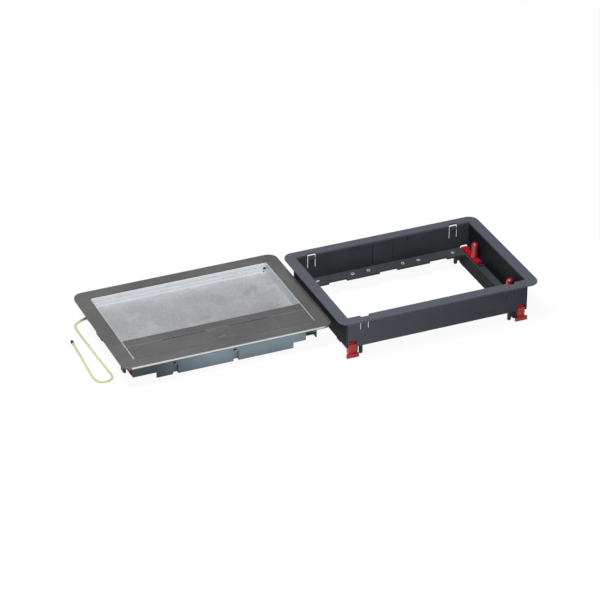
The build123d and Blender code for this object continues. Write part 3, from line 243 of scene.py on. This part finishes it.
class Finish:
    """A material under construction."""

    def __init__(self, name):
        self.material = bpy.data.materials.new(name)
        self.material.use_nodes = True
        self.tree = self.material.node_tree
        self.tree.nodes.clear()
        self.shader = self.tree.nodes.new("ShaderNodeBsdfPrincipled")
        self.output = self.tree.nodes.new("ShaderNodeOutputMaterial")
        self.tree.links.new(self.shader.outputs[0], self.output.inputs["Surface"])

    def feed(self, socket, value):
        if isinstance(value, Signal):
            self.tree.links.new(value.socket, socket)
        else:
            socket.default_value = value

    def node(self, kind, settings=None, inputs=None, output=0):
        """A node of that type, its settings first, then its inputs, as a signal."""
        made = self.tree.nodes.new(kind)
        for name, value in (settings or {}).items():
            setattr(made, name, value)
        for name, value in (inputs or {}).items():
            self.feed(made.inputs[name], value)
        return Signal(self, made.outputs[output])

    def set(self, **values):
        """Feeds the main shader's sockets, named in words joined by underscores."""
        for name, value in values.items():
            self.feed(self.shader.inputs[name.replace("_", " ")], value)
        return self

    def place(self, scale):
        """Object coordinates in metres, stretched."""
        here = self.node("ShaderNodeTexCoord", output="Object")
        return self.node("ShaderNodeMapping", {}, {"Vector": here, "Scale": scale})

    def noise(self, size, stretch=(1, 1, 1), detail=3.0, roughness=0.55):
        """Noise with features about that many metres wide."""
        scale = tuple(s / size for s in stretch)
        inputs = {"Vector": self.place(scale), "Scale": 1.0}
        inputs.update({"Detail": detail, "Roughness": roughness})
        return self.node("ShaderNodeTexNoise", {}, inputs)

    def mix(self, share, first, second):
        """One colour blended into another."""
        return self.node("ShaderNodeMix", {"data_type": "RGBA"}, {0: share, 6: first, 7: second}, 2)

    def ramp(self, value, low, high):
        """The signal rescaled so that low becomes 0 and high becomes 1, and no further."""
        inputs = {"Value": value, "From Min": low, "From Max": high}
        return self.node("ShaderNodeMapRange", {}, inputs)

    def axis(self, name):
        """One Object coordinate in metres."""
        here = self.node("ShaderNodeTexCoord", output="Object")
        return self.node("ShaderNodeSeparateXYZ", {}, {"Vector": here}, name)

    def away(self, value, middle):
        """How far a signal is from a middle value, to either side."""
        return self.node("ShaderNodeMath", {"operation": "ABSOLUTE"}, {0: value - middle})

    def sharp_edges(self, radius, low=0.01, high=0.12):
        """1 along the piece's sharp edges and 0 on its faces."""
        soft = self.node("ShaderNodeBevel", {"samples": 6}, {"Radius": radius})
        hard = self.node("ShaderNodeNewGeometry", output="True Normal")
        same = self.node(
            "ShaderNodeVectorMath", {"operation": "DOT_PRODUCT"}, {0: soft, 1: hard}, "Value"
        )
        return self.ramp(1.0 - same, low, high)

    def relief(self, height, depth, edge):
        """A normal from a height pattern, over edges rounded by the given radius."""
        soft = self.node("ShaderNodeBevel", {"samples": 4}, {"Radius": edge})
        inputs = {"Height": height, "Distance": depth, "Strength": 1.0, "Normal": soft}
        return self.node("ShaderNodeBump", {}, inputs)


# %% [markdown]
# The frame, the chassis and the clamps come out of steel moulds. Such a moulding is never one flat
# tone: a fine spark-eroded grain breaks the shine, and flow from the gate leaves faint lighter
# clouds. Its corners are paler, partly from handling and partly as a painted highlight. Two scales
# of noise make the grain and the clouds, and a mask that finds sharp edges, from the difference
# between a bevelled and a true normal, makes the pale corners. The frame's flange carries painted
# light, paler than its walls as if lit from above, and so does its front wall towards the left. Its
# end walls and the floors of its grooves carry painted shade and look darkest, and so does the
# chassis's left end block; its right end lugs are darkened too. These last masks come from the
# piece's own coordinates and its own normal.

# %% Moulded plastics
def moulding(name, dark, light, wear_and_highlight, shine, gloss, grain=0.0009, layers=()):
    """A moulded plastic, its corners paler partly from wear and partly as a painted highlight; each
    layer is a mask and the light or shade painted there.
    """
    finish = Finish(name)
    cloud = finish.ramp(finish.noise(0.045), 0.35, 0.65)
    grit = finish.noise(grain, detail=2.0)
    rub = finish.ramp(finish.noise(0.006, detail=4.0), 0.3, 0.7)
    tone = finish.mix(cloud * 0.6 + grit * 0.4, screen_colour(*dark), screen_colour(*light))
    for mask, colour in layers:
        tone = finish.mix(mask(finish), tone, screen_colour(*colour))
    # Paler corners: partly handling wear, partly a painted highlight.
    pale = finish.sharp_edges(0.0005) * (0.3 + rub * 0.3)
    tone = finish.mix(pale, tone, screen_colour(*wear_and_highlight))
    finish.set(Base_Color=tone, Roughness=shine + rub * 0.12)
    finish.set(Normal=finish.relief(grit, 0.00006, 0.0005), Specular_IOR_Level=gloss)
    print("moulding", name, "dark", dark, "light", light)
    return finish.material


frame_low, frame_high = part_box("base_frame")
frame_middle = (frame_low + frame_high) / 2
FRAME_TOP = frame_high.z
FLANGE_DEPTH = 0.0032
FLANGE_FADE = 0.0004
WALL_FACE = 0.0172
GROOVE_DEPTH = 0.0008
GROOVE_START = (0.0001, 0.0004)
GROOVE_END = (0.0005, 0.0003)
FRONT_SKIN = (0.0158, 0.0154)
FRONT_FADE_RIGHT, FRONT_FADE_LEFT = 0.02, 0.06
# Tone of the painted light on the flange and on the front wall's left part.
PAINTED_LIGHT_TONE = (92, 95, 105)
# Tone of the painted shade on the frame's end walls and grooves and on the chassis's ends.
PAINTED_SHADE_TONE = (12, 13, 16)
# Shares of painted light on the flange and on the front wall.
FLANGE_PAINTED_LIGHT, FRONT_PAINTED_LIGHT = 0.68, 0.6
# Shares of painted shade on the frame's end walls and on the chassis's ends.
END_WALL_PAINTED_SHADE, CHASSIS_PAINTED_SHADE = 0.85, 0.78
LEFT_BLOCK, LEFT_PANEL = -0.280, -0.190
RIGHT_LUG = -0.0298


def flange(finish):
    """Painted light on the frame's flange, as if lit from above, and on a little of its front wall
    towards the left.
    """
    low_edge = FRAME_TOP - FLANGE_DEPTH
    top = finish.ramp(finish.axis("Z"), low_edge, low_edge + FLANGE_FADE)
    front = finish.ramp(finish.axis("Y"), *(frame_low.y + skin for skin in FRONT_SKIN))
    left_end, right_end = frame_low.x + FRONT_FADE_LEFT, frame_high.x - FRONT_FADE_RIGHT
    left = finish.ramp(finish.axis("X"), right_end, left_end)
    return top * FLANGE_PAINTED_LIGHT + (1.0 - top) * front * left * FRONT_PAINTED_LIGHT


def frame_painted_shade(finish):
    """Painted shade on the frame's end walls, and on the floors of the grooves in its walls, under
    the flange.
    """
    low_edge = FRAME_TOP - FLANGE_DEPTH
    under = finish.ramp(finish.axis("Z"), low_edge, low_edge - FLANGE_FADE)
    own_normal = finish.node("ShaderNodeTexCoord", output="Normal")
    facing = finish.node("ShaderNodeSeparateXYZ", {}, {"Vector": own_normal}, "X")
    end_wall = finish.ramp(facing * facing, 0.4, 0.7)
    grooves = 0.0
    for name, middle, half in (("X", frame_middle.x, frame_middle.x - frame_low.x),
                               ("Y", frame_middle.y, frame_middle.y - frame_low.y)):
        away = finish.away(finish.axis(name), middle)
        face = half - WALL_FACE
        deep = finish.ramp(away, *(face + start for start in GROOVE_START))
        ended = finish.ramp(away, *(face + GROOVE_DEPTH + end for end in GROOVE_END))
        grooves = grooves + deep * ended
    return under * (end_wall * END_WALL_PAINTED_SHADE + grooves)


def chassis_painted_shade(finish):
    """Painted shade on the chassis's left end block, fading along its first panel; its right end
    lugs are darkened too.
    """
    x = finish.axis("X")
    block = finish.ramp(x, LEFT_PANEL, LEFT_BLOCK)
    lugs = finish.ramp(x, RIGHT_LUG, RIGHT_LUG + 0.001)
    return (block + lugs) * CHASSIS_PAINTED_SHADE


# The frame's layers paint light on its flange and shade on its end walls and grooves.
frame_plastic = moulding(
    "frame_moulding", (54, 57, 62), (65, 68, 74), (112, 116, 127), 0.5, 0.06,
    layers=[(flange, PAINTED_LIGHT_TONE), (frame_painted_shade, PAINTED_SHADE_TONE)],
)
# The chassis's layer paints shade on its left end block and darkens its right end lugs.
chassis_plastic = moulding(
    "chassis_moulding", (134, 150, 160), (148, 165, 175), (158, 174, 184), 0.5, 0.25,
    layers=[(chassis_painted_shade, PAINTED_SHADE_TONE)],
)
black_plastic = moulding(
    "black_moulding", (26, 28, 31), (38, 40, 44), (52, 54, 58), 0.38, 0.4
)
red_plastic = moulding(
    "clamp_red", (156, 14, 22), (178, 27, 35), (220, 100, 100), 0.24, 0.5, 0.0014
)
knob_plastic = moulding(
    "knob_red", (150, 14, 22), (170, 26, 34), (226, 120, 122), 0.3, 1.0, 0.0014
)

# %% [markdown]
# The rim, the strip and the flaps are brushed steel under a dark grey lacquer.
# Brushing is thousands of short scratches in one direction, so the noise is stretched along the
# long side, and the scratches vary tone, roughness and height together. The outer faces of the
# rim's two long edges carry a painted highlight, picked by a mask on the piece's own Y, and are
# more metallic and smoother there.

# %% Brushed and lacquered steel
PAINTED_HIGHLIGHT_TONE = (236, 240, 244)
PAINTED_SHADE_LINE_TONE = (150, 160, 172)
HIGHLIGHT_ROUGHNESS = 0.18


def brushed(name, dark, light, shine, direction=(0.02, 1, 1), metal=0.85,
            edge=None, lines=None):
    """A brushed metal; edge masks where a highlight is painted, lines where shade is painted."""
    finish = Finish(name)
    scratch = finish.noise(0.0007, direction, detail=4.0, roughness=0.7)
    haze = finish.ramp(finish.noise(0.05), 0.3, 0.7)
    streak = finish.ramp(scratch, 0.3, 0.7)
    tone = finish.mix(streak * 0.6 + haze * 0.4, screen_colour(*dark), screen_colour(*light))
    polish, shininess = metal, shine + streak * 0.1
    if lines:
        tone = finish.mix(lines(finish), tone, screen_colour(*PAINTED_SHADE_LINE_TONE))
    if edge:
        # The edge mask paints a highlight, and makes the steel more metallic and smoother there.
        bright = edge(finish)
        tone = finish.mix(bright, tone, screen_colour(*PAINTED_HIGHLIGHT_TONE))
        polish = metal + bright * (1.0 - metal)
        shininess = shininess - bright * (shine - HIGHLIGHT_ROUGHNESS)
    relief = finish.relief(scratch, 0.00003, 0.0005)
    finish.set(Base_Color=tone, Metallic=polish, Roughness=shininess, Normal=relief)
    print("brushed", name, "dark", dark, "light", light)
    return finish.material


rim_low, rim_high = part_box("rim_plate")
EDGE_SKIN = 0.0006
BRIGHT_BAND = 0.0026


def long_edge_highlight(finish):
    """Painted highlight: 1 on the outer faces of the rim's two long edges, down to where the lip is
    turned.
    """
    y, z = finish.axis("Y"), finish.axis("Z")
    front = finish.ramp(y, rim_low.y + EDGE_SKIN, rim_low.y + EDGE_SKIN * 0.5)
    back = finish.ramp(y, rim_high.y - EDGE_SKIN, rim_high.y - EDGE_SKIN * 0.5)
    turned = finish.ramp(z, rim_high.z - BRIGHT_BAND - 0.0003, rim_high.z - BRIGHT_BAND)
    return (front + back) * turned * 0.8


# The rim's long edges carry a painted highlight.
rim_steel = brushed(
    "rim_brushed", (77, 77, 77), (110, 109, 108), 0.45, metal=0.12, edge=long_edge_highlight
)

# %% [markdown]
# The flaps and the button share the strip's finish. A thin painted highlight runs round the edges
# of each, a faint paler band lies over the flaps' hinge barrels, and the raised mark on the button
# carries a painted highlight. The same sharp-edge mask finds the edges, and the places of the strip
# and the flaps find the rest.

# %% Strip with painted edge highlights
STRIP_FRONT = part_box("lid_strip")[0].y
STRIP_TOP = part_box("lid_strip")[1].z
FLAP_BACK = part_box("cable_flap_left")[1].y
EDGE_BRIGHT, BARREL_BRIGHT, MARK_BRIGHT = 0.45, 0.08, 0.9


def flap_edge_highlights(finish):
    """Painted highlights on the edges of the flaps and the button and on the button's mark, and a
    faint paler band over the flaps' barrels.
    """
    y, z = finish.axis("Y"), finish.axis("Z")
    inside = finish.ramp(y, STRIP_FRONT + 0.0015, STRIP_FRONT + 0.002)
    behind = finish.ramp(y, FLAP_BACK - 0.0026, FLAP_BACK - 0.001)
    barrel = behind * finish.ramp(y, FLAP_BACK + 0.001, FLAP_BACK)
    mark = finish.ramp(z, STRIP_TOP + 0.00008, STRIP_TOP + 0.0002)
    edges = finish.sharp_edges(0.0006, 0.02, 0.15) * inside
    return edges * EDGE_BRIGHT + barrel * BARREL_BRIGHT + mark * MARK_BRIGHT


# The flaps' and the button's edges, and the button's mark, carry painted highlights.
strip_steel = brushed(
    "strip_brushed", (76, 76, 76), (106, 106, 106), 0.45, metal=0.12, edge=flap_edge_highlights
)

# %% [markdown]
# The other metals differ in colour, shine and the way they are drawn. The tray's walls are pale
# aluminium sections with two fine lines of painted shade along them, the pins and studs are
# zinc-plated, the rivets and the spring blackened, and the lug is tinned copper.

# %% Bright metals
wall_low, wall_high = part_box("tray_wall_back")
SHADE_LINE_WIDTH = 0.0005
SHADE_LINE_HEIGHTS = (0.36, 0.67)


def painted_shade_lines(finish):
    """Two fine lines of painted shade along the tray's walls, at a third and two thirds of their
    height.
    """
    height = finish.axis("Z")
    both = 0.0
    for share in SHADE_LINE_HEIGHTS:
        middle = wall_low.z + share * (wall_high.z - wall_low.z)
        away = finish.away(height, middle)
        both = both + finish.ramp(away, SHADE_LINE_WIDTH, SHADE_LINE_WIDTH * 0.4)
    return both * 0.5


# The tray's walls carry two lines of painted shade.
wall_aluminium = brushed(
    "wall_aluminium", (243, 248, 254), (250, 253, 255), 0.25, metal=0.3, lines=painted_shade_lines
)
end_aluminium = brushed(
    "end_wall_aluminium", (184, 190, 196), (202, 207, 212), 0.3, (1, 0.02, 1),
    metal=0.3, lines=painted_shade_lines,
)
plated_steel = brushed("plated_steel", (176, 178, 180), (205, 206, 206), 0.3, (1, 1, 0.1))
dark_steel = brushed("blackened_steel", (38, 38, 40), (60, 60, 62), 0.35, (1, 1, 1))
tinned_copper = brushed("tinned_copper", (196, 192, 184), (222, 218, 210), 0.3, (1, 0.2, 1))

# %% [markdown]
# The tray's floor is hot-dip galvanised sheet. Zinc freezes into crystals some
# centimetres across, the spangle, each with its own tilt and so its own grey. A
# Voronoi cell gives each crystal one value, noise frays the cells' edges, and
# fine long noise adds the marks of rolling.

# %% Galvanised sheet
def galvanised():
    """Hot-dip zinc, with its spangle and its rolling marks."""
    finish = Finish("galvanised_sheet")
    fray = finish.noise(0.012, detail=5.0)
    cells = finish.place((48, 40, 48))
    frayed = finish.node(
        "ShaderNodeVectorMath", {"operation": "MULTIPLY_ADD"},
        {0: fray, 1: (1.6, 1.6, 1.6), 2: cells},
    )
    spangle = finish.node("ShaderNodeTexVoronoi", {}, {"Vector": frayed, "Scale": 1.0}, "Color")
    crystal = finish.node("ShaderNodeSeparateColor", {}, {"Color": spangle})
    fine = finish.noise(0.0035, (1, 0.5, 1), detail=6.0, roughness=0.7)
    patch = finish.ramp(finish.noise(0.05, detail=5.0), 0.35, 0.68)
    blend = crystal * 0.18 + fine * 0.76 + patch * 0.06
    shade = finish.ramp(blend, 0.2, 0.75)
    tone = finish.mix(shade, screen_colour(150, 151, 154), screen_colour(184, 185, 188))
    finish.set(Base_Color=tone, Metallic=0.35, Roughness=0.48 + crystal * 0.12)
    finish.set(Normal=finish.relief(fine, 0.00005, 0.0003))
    print("galvanised sheet made")
    return finish.material


zinc_sheet = galvanised()

# %% [markdown]
# The seal is rubber and the gasket foam, both nearly black, and both break light
# up instead of shining. A Voronoi pattern gives the foam its pores and the rubber
# its fine bloom.

# %% Rubber and foam
def rubber(name, shade, pores, depth):
    """A nearly black soft material, with pores that wide and that deep."""
    finish = Finish(name)
    cells = finish.place((1 / pores,) * 3)
    pore = finish.node("ShaderNodeTexVoronoi", {}, {"Vector": cells, "Scale": 1.0})
    raised = finish.ramp(pore, 0.0, 0.7)
    tone = finish.mix(raised, screen_colour(12, 12, 13), screen_colour(shade, shade, shade))
    finish.set(Base_Color=tone, Roughness=0.75 + pore * 0.1)
    finish.set(Normal=finish.relief(pore, depth, 0.0003))
    return finish.material


seal_rubber = rubber("seal_rubber", 40, 0.0008, 0.00004)
gasket_foam = rubber("gasket_foam", 34, 0.0011, 0.0002)

# %% [markdown]
# An earth wire's sheath is green with a yellow stripe, both run out of one
# nozzle, and the wire twists a little as it is laid. A bevelled curve has its own
# UV map, whose U runs along it and V once round, so the stripe follows every
# bend: its phase is V plus a share of U, folded into a band.

# %% Wire sheath
STRIPE_TURNS = 2.4


def wire_sheath():
    """Green with a yellow stripe that turns slowly round the wire."""
    finish = Finish("wire_sheath")
    here = finish.node("ShaderNodeTexCoord", output="UV")
    along = finish.node("ShaderNodeSeparateXYZ", {}, {"Vector": here}, "X")
    around = finish.node("ShaderNodeSeparateXYZ", {}, {"Vector": here}, "Y")
    phase = around + along * STRIPE_TURNS
    fold = finish.node("ShaderNodeMath", {"operation": "PINGPONG"}, {0: phase, 1: 0.5})
    band = finish.ramp(fold, 0.2, 0.28)
    speck = finish.noise(0.003)
    yellow = finish.mix(speck, screen_colour(198, 202, 148), screen_colour(206, 210, 162))
    green = finish.mix(speck, screen_colour(172, 192, 136), screen_colour(182, 200, 148))
    finish.set(Base_Color=finish.mix(band, yellow, green), Roughness=0.38 + speck * 0.1)
    finish.set(Normal=finish.relief(speck, 0.00002, 0.0002))
    return finish.material


sheath = wire_sheath()
wire.data.materials.append(sheath)
cap.data.materials.append(black_plastic)

# %% [markdown]
# The wire and its cap stand for their CAD solids, which are hidden, and move with the cover.

# %% Put the wire on the cover
for piece, node, slot in ((wire, "earth_wire", "wire_sheath"), (cap, "wire_cap", "black_plastic")):
    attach(piece, "cover")
    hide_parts(node)

# %% [markdown]
# Each CAD piece now gets the finish that its real counterpart has. One table in
# plain words does this, so that a piece without a finish is noticed at once.

# %% Give every CAD piece its finish
FINISHES = {
    frame_plastic: ["base_frame"],
    chassis_plastic: ["cover_chassis", "lid_front_frame"],
    black_plastic: ["support_feet", "side_clips", "wire_cap"],
    red_plastic: ["retaining_catches", "clamp_lever"],
    knob_plastic: ["clamp_knob"],
    rim_steel: ["rim_plate"],
    strip_steel: ["lid_strip", "cable_flap", "latch_button"],
    wall_aluminium: ["tray_wall_back"],
    end_aluminium: ["tray_wall_left", "tray_wall_right"],
    zinc_sheet: ["tray_floor", "tray_stiffeners"],
    plated_steel: ["clamp_pins", "clamp_stud", "rim_screws", "lid_hinge_pins", "earth_tab",
                   "earth_screw", "flap_pins", "latch_bolt"],
    dark_steel: ["tray_rivets", "button_spring"],
    tinned_copper: ["earth_lug"],
    seal_rubber: ["lid_seals"],
    gasket_foam: ["rim_gasket"],
    sheath: ["earth_wire"],
}
finished = set()
for material, starts in FINISHES.items():
    for name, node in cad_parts.items():
        if name.startswith(tuple(starts)):
            node.data.materials.clear()
            node.data.materials.append(material)
            finished.add(name)
print("without a finish:", sorted(set(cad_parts) - finished))

# %% [markdown]
# Each device support is screwed to the ledges, and the holes for its screws have bright rims, read
# here as a metal bush pressed into each; the bush's pale ring also stands in, as painted light, for
# the white table seen through the hole. One bush is modelled and copied: a short cylinder whose two
# round faces are inset and then bridged, which removes them and joins their rims, leaving a ring.
# Each copy gets its own mesh, moved to its hole, and the copies are joined into one piece that
# rides on the frame.

# %% Bushes in the ledge's screw holes
FRAME_CORNER = Vector((-0.00345, -0.15035, 0.0))
LEDGE_TOP = 0.0256
BUSH_RADIUS = 0.0029
BUSH_WALL = 0.00075
BUSH_HEIGHT = 0.0005
BUSH_SUNK = 0.0001
LEDGE_MIDDLE = 0.17
SUPPORT_PITCH = 0.0885
HOLE_OFFSET = 0.0304
HOLE_COLUMNS = [
    LEDGE_MIDDLE + centre + side * HOLE_OFFSET
    for centre in (-SUPPORT_PITCH, 0.0, SUPPORT_PITCH) for side in (-1, 1)
]
HOLE_ROWS = (0.0285, 0.2115)


def join_all(parts, name):
    """Joins mesh objects into the first and names it."""
    select_none()
    for part in parts:
        part.select_set(True)
    bpy.context.view_layer.objects.active = parts[0]
    bpy.ops.object.join()
    parts[0].name = name
    return parts[0]


def copies_at(piece, places):
    """One copy of a piece at each place, with its own mesh; the piece itself is removed."""
    made = []
    for place in places:
        copy = piece.copy()
        copy.data = piece.data.copy()
        for vertex in copy.data.vertices:
            vertex.co += Vector(place)
        bpy.context.scene.collection.objects.link(copy)
        made.append(copy)
    bpy.data.objects.remove(piece)
    return made


select_none()
bpy.ops.mesh.primitive_cylinder_add(
    vertices=32, radius=BUSH_RADIUS, depth=BUSH_HEIGHT, location=(0, 0, 0)
)
bush = bpy.context.object
select_faces(bush, lambda centre, normal: abs(normal.z) > 0.9)
bpy.ops.mesh.inset(thickness=BUSH_WALL, depth=0.0)
bpy.ops.mesh.bridge_edge_loops()
select_none()
bush.select_set(True)
finish_modifier(bush, "BEVEL", width=0.0001, segments=1, limit_method="ANGLE")
bush_height = LEDGE_TOP + BUSH_HEIGHT / 2 - BUSH_SUNK
holes = [FRAME_CORNER + Vector((x, y, bush_height)) for x in HOLE_COLUMNS for y in HOLE_ROWS]
bushes = join_all(copies_at(bush, holes), "support_bushes")
bpy.ops.object.shade_smooth_by_angle(angle=math.radians(35))
# Their pale ring also stands in, as painted light, for the table seen through the holes.
bushes.data.materials.append(wall_aluminium)
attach(bushes, "frame")
print("bushes", len(holes), "triangles about", 2 * len(bushes.data.polygons))

# %% [markdown]
# A low rib closes each end of a clamp trough, just short of the clamp's end, so
# that screed and dust don't fall through. It is a cube at its size and place. The
# Bevel modifier rounds its edges as a mould does, and is applied.

# %% Ribs at the troughs' ends
TROUGH_MIDDLES = (0.0246, 0.3154)
TROUGH_WIDTH = 0.0147
RIB_ROWS = (0.0779, 0.1621)
RIB_THICKNESS = 0.0019
RIB_LOW, RIB_HIGH = 0.0177, 0.0229

select_none()
bpy.ops.mesh.primitive_cube_add(size=1.0, location=(0, 0, (RIB_LOW + RIB_HIGH) / 2))
rib = bpy.context.object
rib.scale = (TROUGH_WIDTH, RIB_THICKNESS, RIB_HIGH - RIB_LOW)
bpy.ops.object.transform_apply(location=True, rotation=True, scale=True)
select_faces(rib, lambda centre, normal: normal.z > 0.9)
bpy.ops.transform.resize(value=(1.0, 0.7, 1.0))
select_none()
rib.select_set(True)
finish_modifier(rib, "BEVEL", width=0.0003, segments=2, limit_method="ANGLE")
rib_places = [FRAME_CORNER + Vector((x, y, 0.0)) for x in TROUGH_MIDDLES for y in RIB_ROWS]
ribs = join_all(copies_at(rib, rib_places), "trough_end_ribs")
ribs.data.materials.append(frame_plastic)
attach(ribs, "frame")
print("ribs", len(rib_places))

# %% [markdown]
# In the tray's back right corner a black rubber stop covers the upper rivet. It
# is a cylinder laid against the wall, with its edge rounded by a bevel.

# %% Rubber stop in the tray's corner
STOP_RADIUS = 0.0021
STOP_DEPTH = 0.0009
STOP_SUNK = 0.00005
rivet_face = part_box("tray_rivets")[0].y
STOP_PLACE = (-0.0182, rivet_face - STOP_DEPTH / 2 + STOP_SUNK, 0.0305)

select_none()
bpy.ops.mesh.primitive_cylinder_add(
    vertices=32, radius=STOP_RADIUS, depth=STOP_DEPTH, location=STOP_PLACE,
    rotation=(math.radians(90), 0, 0),
)
stop = bpy.context.object
stop.name = "corner_stop"
bpy.ops.object.transform_apply(location=True, rotation=True, scale=True)
finish_modifier(stop, "BEVEL", width=0.0003, segments=3, limit_method="ANGLE")
bpy.ops.object.shade_smooth_by_angle(angle=math.radians(35))
stop.data.materials.append(seal_rubber)
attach(stop, "lid")
print("corner stop faces", len(stop.data.polygons))

# %% [markdown]
# Under the latch button sits a small coil spring. The Screw modifier makes a coil from one round
# section of its wire: it sweeps the section round the Z axis and lifts it by one pitch a turn. The
# open ends are then filled. The spring stands on the lid's latch deck and carries the button, and
# it rides on the button.

# %% Coil spring under the button
SPRING_WIRE = 0.00035
SPRING_TURNS = 5
spring_low, spring_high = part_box("button_spring")
spring_radius = (spring_high.x - spring_low.x) / 2 - SPRING_WIRE
spring_rise = spring_high.z - spring_low.z - 2 * SPRING_WIRE
spring_middle = (spring_low + spring_high) / 2

select_none()
bpy.ops.mesh.primitive_circle_add(
    vertices=10, radius=SPRING_WIRE, location=(spring_radius, 0, 0),
    rotation=(math.radians(90), 0, 0),
)
spring = bpy.context.object
spring.name = "coil_spring"
bpy.ops.object.transform_apply(location=True, rotation=True, scale=True)
finish_modifier(spring, "SCREW", axis="Z", angle=math.tau, screw_offset=spring_rise / SPRING_TURNS,
                iterations=SPRING_TURNS, steps=28, render_steps=28, use_smooth_shade=True)
bpy.ops.object.mode_set(mode="EDIT")
bpy.ops.mesh.select_mode(type="EDGE")
bpy.ops.mesh.select_all(action="DESELECT")
bpy.ops.mesh.select_non_manifold()
bpy.ops.mesh.edge_face_add()
bpy.ops.mesh.select_all(action="SELECT")
bpy.ops.mesh.normals_make_consistent(inside=False)
bpy.ops.object.mode_set(mode="OBJECT")
spring.location = (spring_middle.x, spring_middle.y, spring_low.z + SPRING_WIRE)
bpy.ops.object.transform_apply(location=True, rotation=True, scale=True)
spring.data.materials.append(dark_steel)
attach(spring, "button")
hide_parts("button_spring")
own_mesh(spring)

# %% [markdown]
# The photograph is a cut-out on white. Its object is lit from above and a little
# from the left, with a weaker light low in front that reaches under the rim and a
# faint one from the right. Three wide area lamps do that. The table is white to
# the camera and to reflections, and keeps the object's faint shadow. It sends
# back less light than it shows, so that it doesn't fill the shaded walls.

# %% White table
TABLE_GLOW = 0.94
TABLE_BOUNCE = 0.55
TABLE_WHITE = 0.95

select_none()
bpy.ops.mesh.primitive_plane_add(size=14.0, location=(0.0, 1.0, -0.0002))
table = bpy.context.object
table.name = "table_top"
table_finish = Finish("table_white")
seen = table_finish.node("ShaderNodeLightPath", output="Is Camera Ray")
mirrored = table_finish.node("ShaderNodeLightPath", output="Is Glossy Ray")
dark, white = (*(TABLE_BOUNCE,) * 3, 1.0), (*(TABLE_WHITE,) * 3, 1.0)
table_tone = table_finish.mix(seen, dark, white)
table_finish.set(Base_Color=table_tone, Roughness=0.9, Specular_IOR_Level=0.0)
glow = table_finish.node("ShaderNodeEmission", {}, {"Color": (1, 1, 1, 1), "Strength": 1.0})
plain = Signal(table_finish, table_finish.shader.outputs[0])
share = (seen + mirrored) * TABLE_GLOW
surface = table_finish.node("ShaderNodeMixShader", {}, {0: share, 1: plain, 2: glow})
table_finish.feed(table_finish.output.inputs["Surface"], surface)
table.data.materials.append(table_finish.material)
print("table glow", TABLE_GLOW, "bounce", TABLE_BOUNCE)

# %% World and lamps
WORLD_FILL = 0.1

world = bpy.data.worlds.new("soft_white")
world.use_nodes = True
backdrop = world.node_tree.nodes["Background"]
backdrop.inputs["Color"].default_value = (1.0, 1.0, 1.0, 1.0)
rays = world.node_tree.nodes.new("ShaderNodeLightPath")
fill = world.node_tree.nodes.new("ShaderNodeMapRange")
fill.inputs["To Min"].default_value = WORLD_FILL
world.node_tree.links.new(rays.outputs["Is Camera Ray"], fill.inputs["Value"])
world.node_tree.links.new(fill.outputs[0], backdrop.inputs["Strength"])
bpy.context.scene.world = world


def soft_lamp(name, place, size, power):
    """A square area lamp that faces the object."""
    data = bpy.data.lights.new(name, "AREA")
    data.energy = power
    data.size = size
    lamp = bpy.data.objects.new(name, data)
    lamp.location = place
    lamp.rotation_euler = (-Vector(place)).to_track_quat("-Z", "Y").to_euler()
    bpy.context.scene.collection.objects.link(lamp)
    print(name, "distance in m", round(Vector(place).length, 2), "power in W", power)


soft_lamp("top_lamp", (-0.85, -0.35, 2.4), 0.9, 79.0)
soft_lamp("front_lamp", (-0.3, -2.1, 0.5), 1.0, 16.0)
soft_lamp("side_lamp", (2.0, 0.9, 0.3), 0.8, 8.0)
bpy.context.scene.view_settings.view_transform = "Standard"
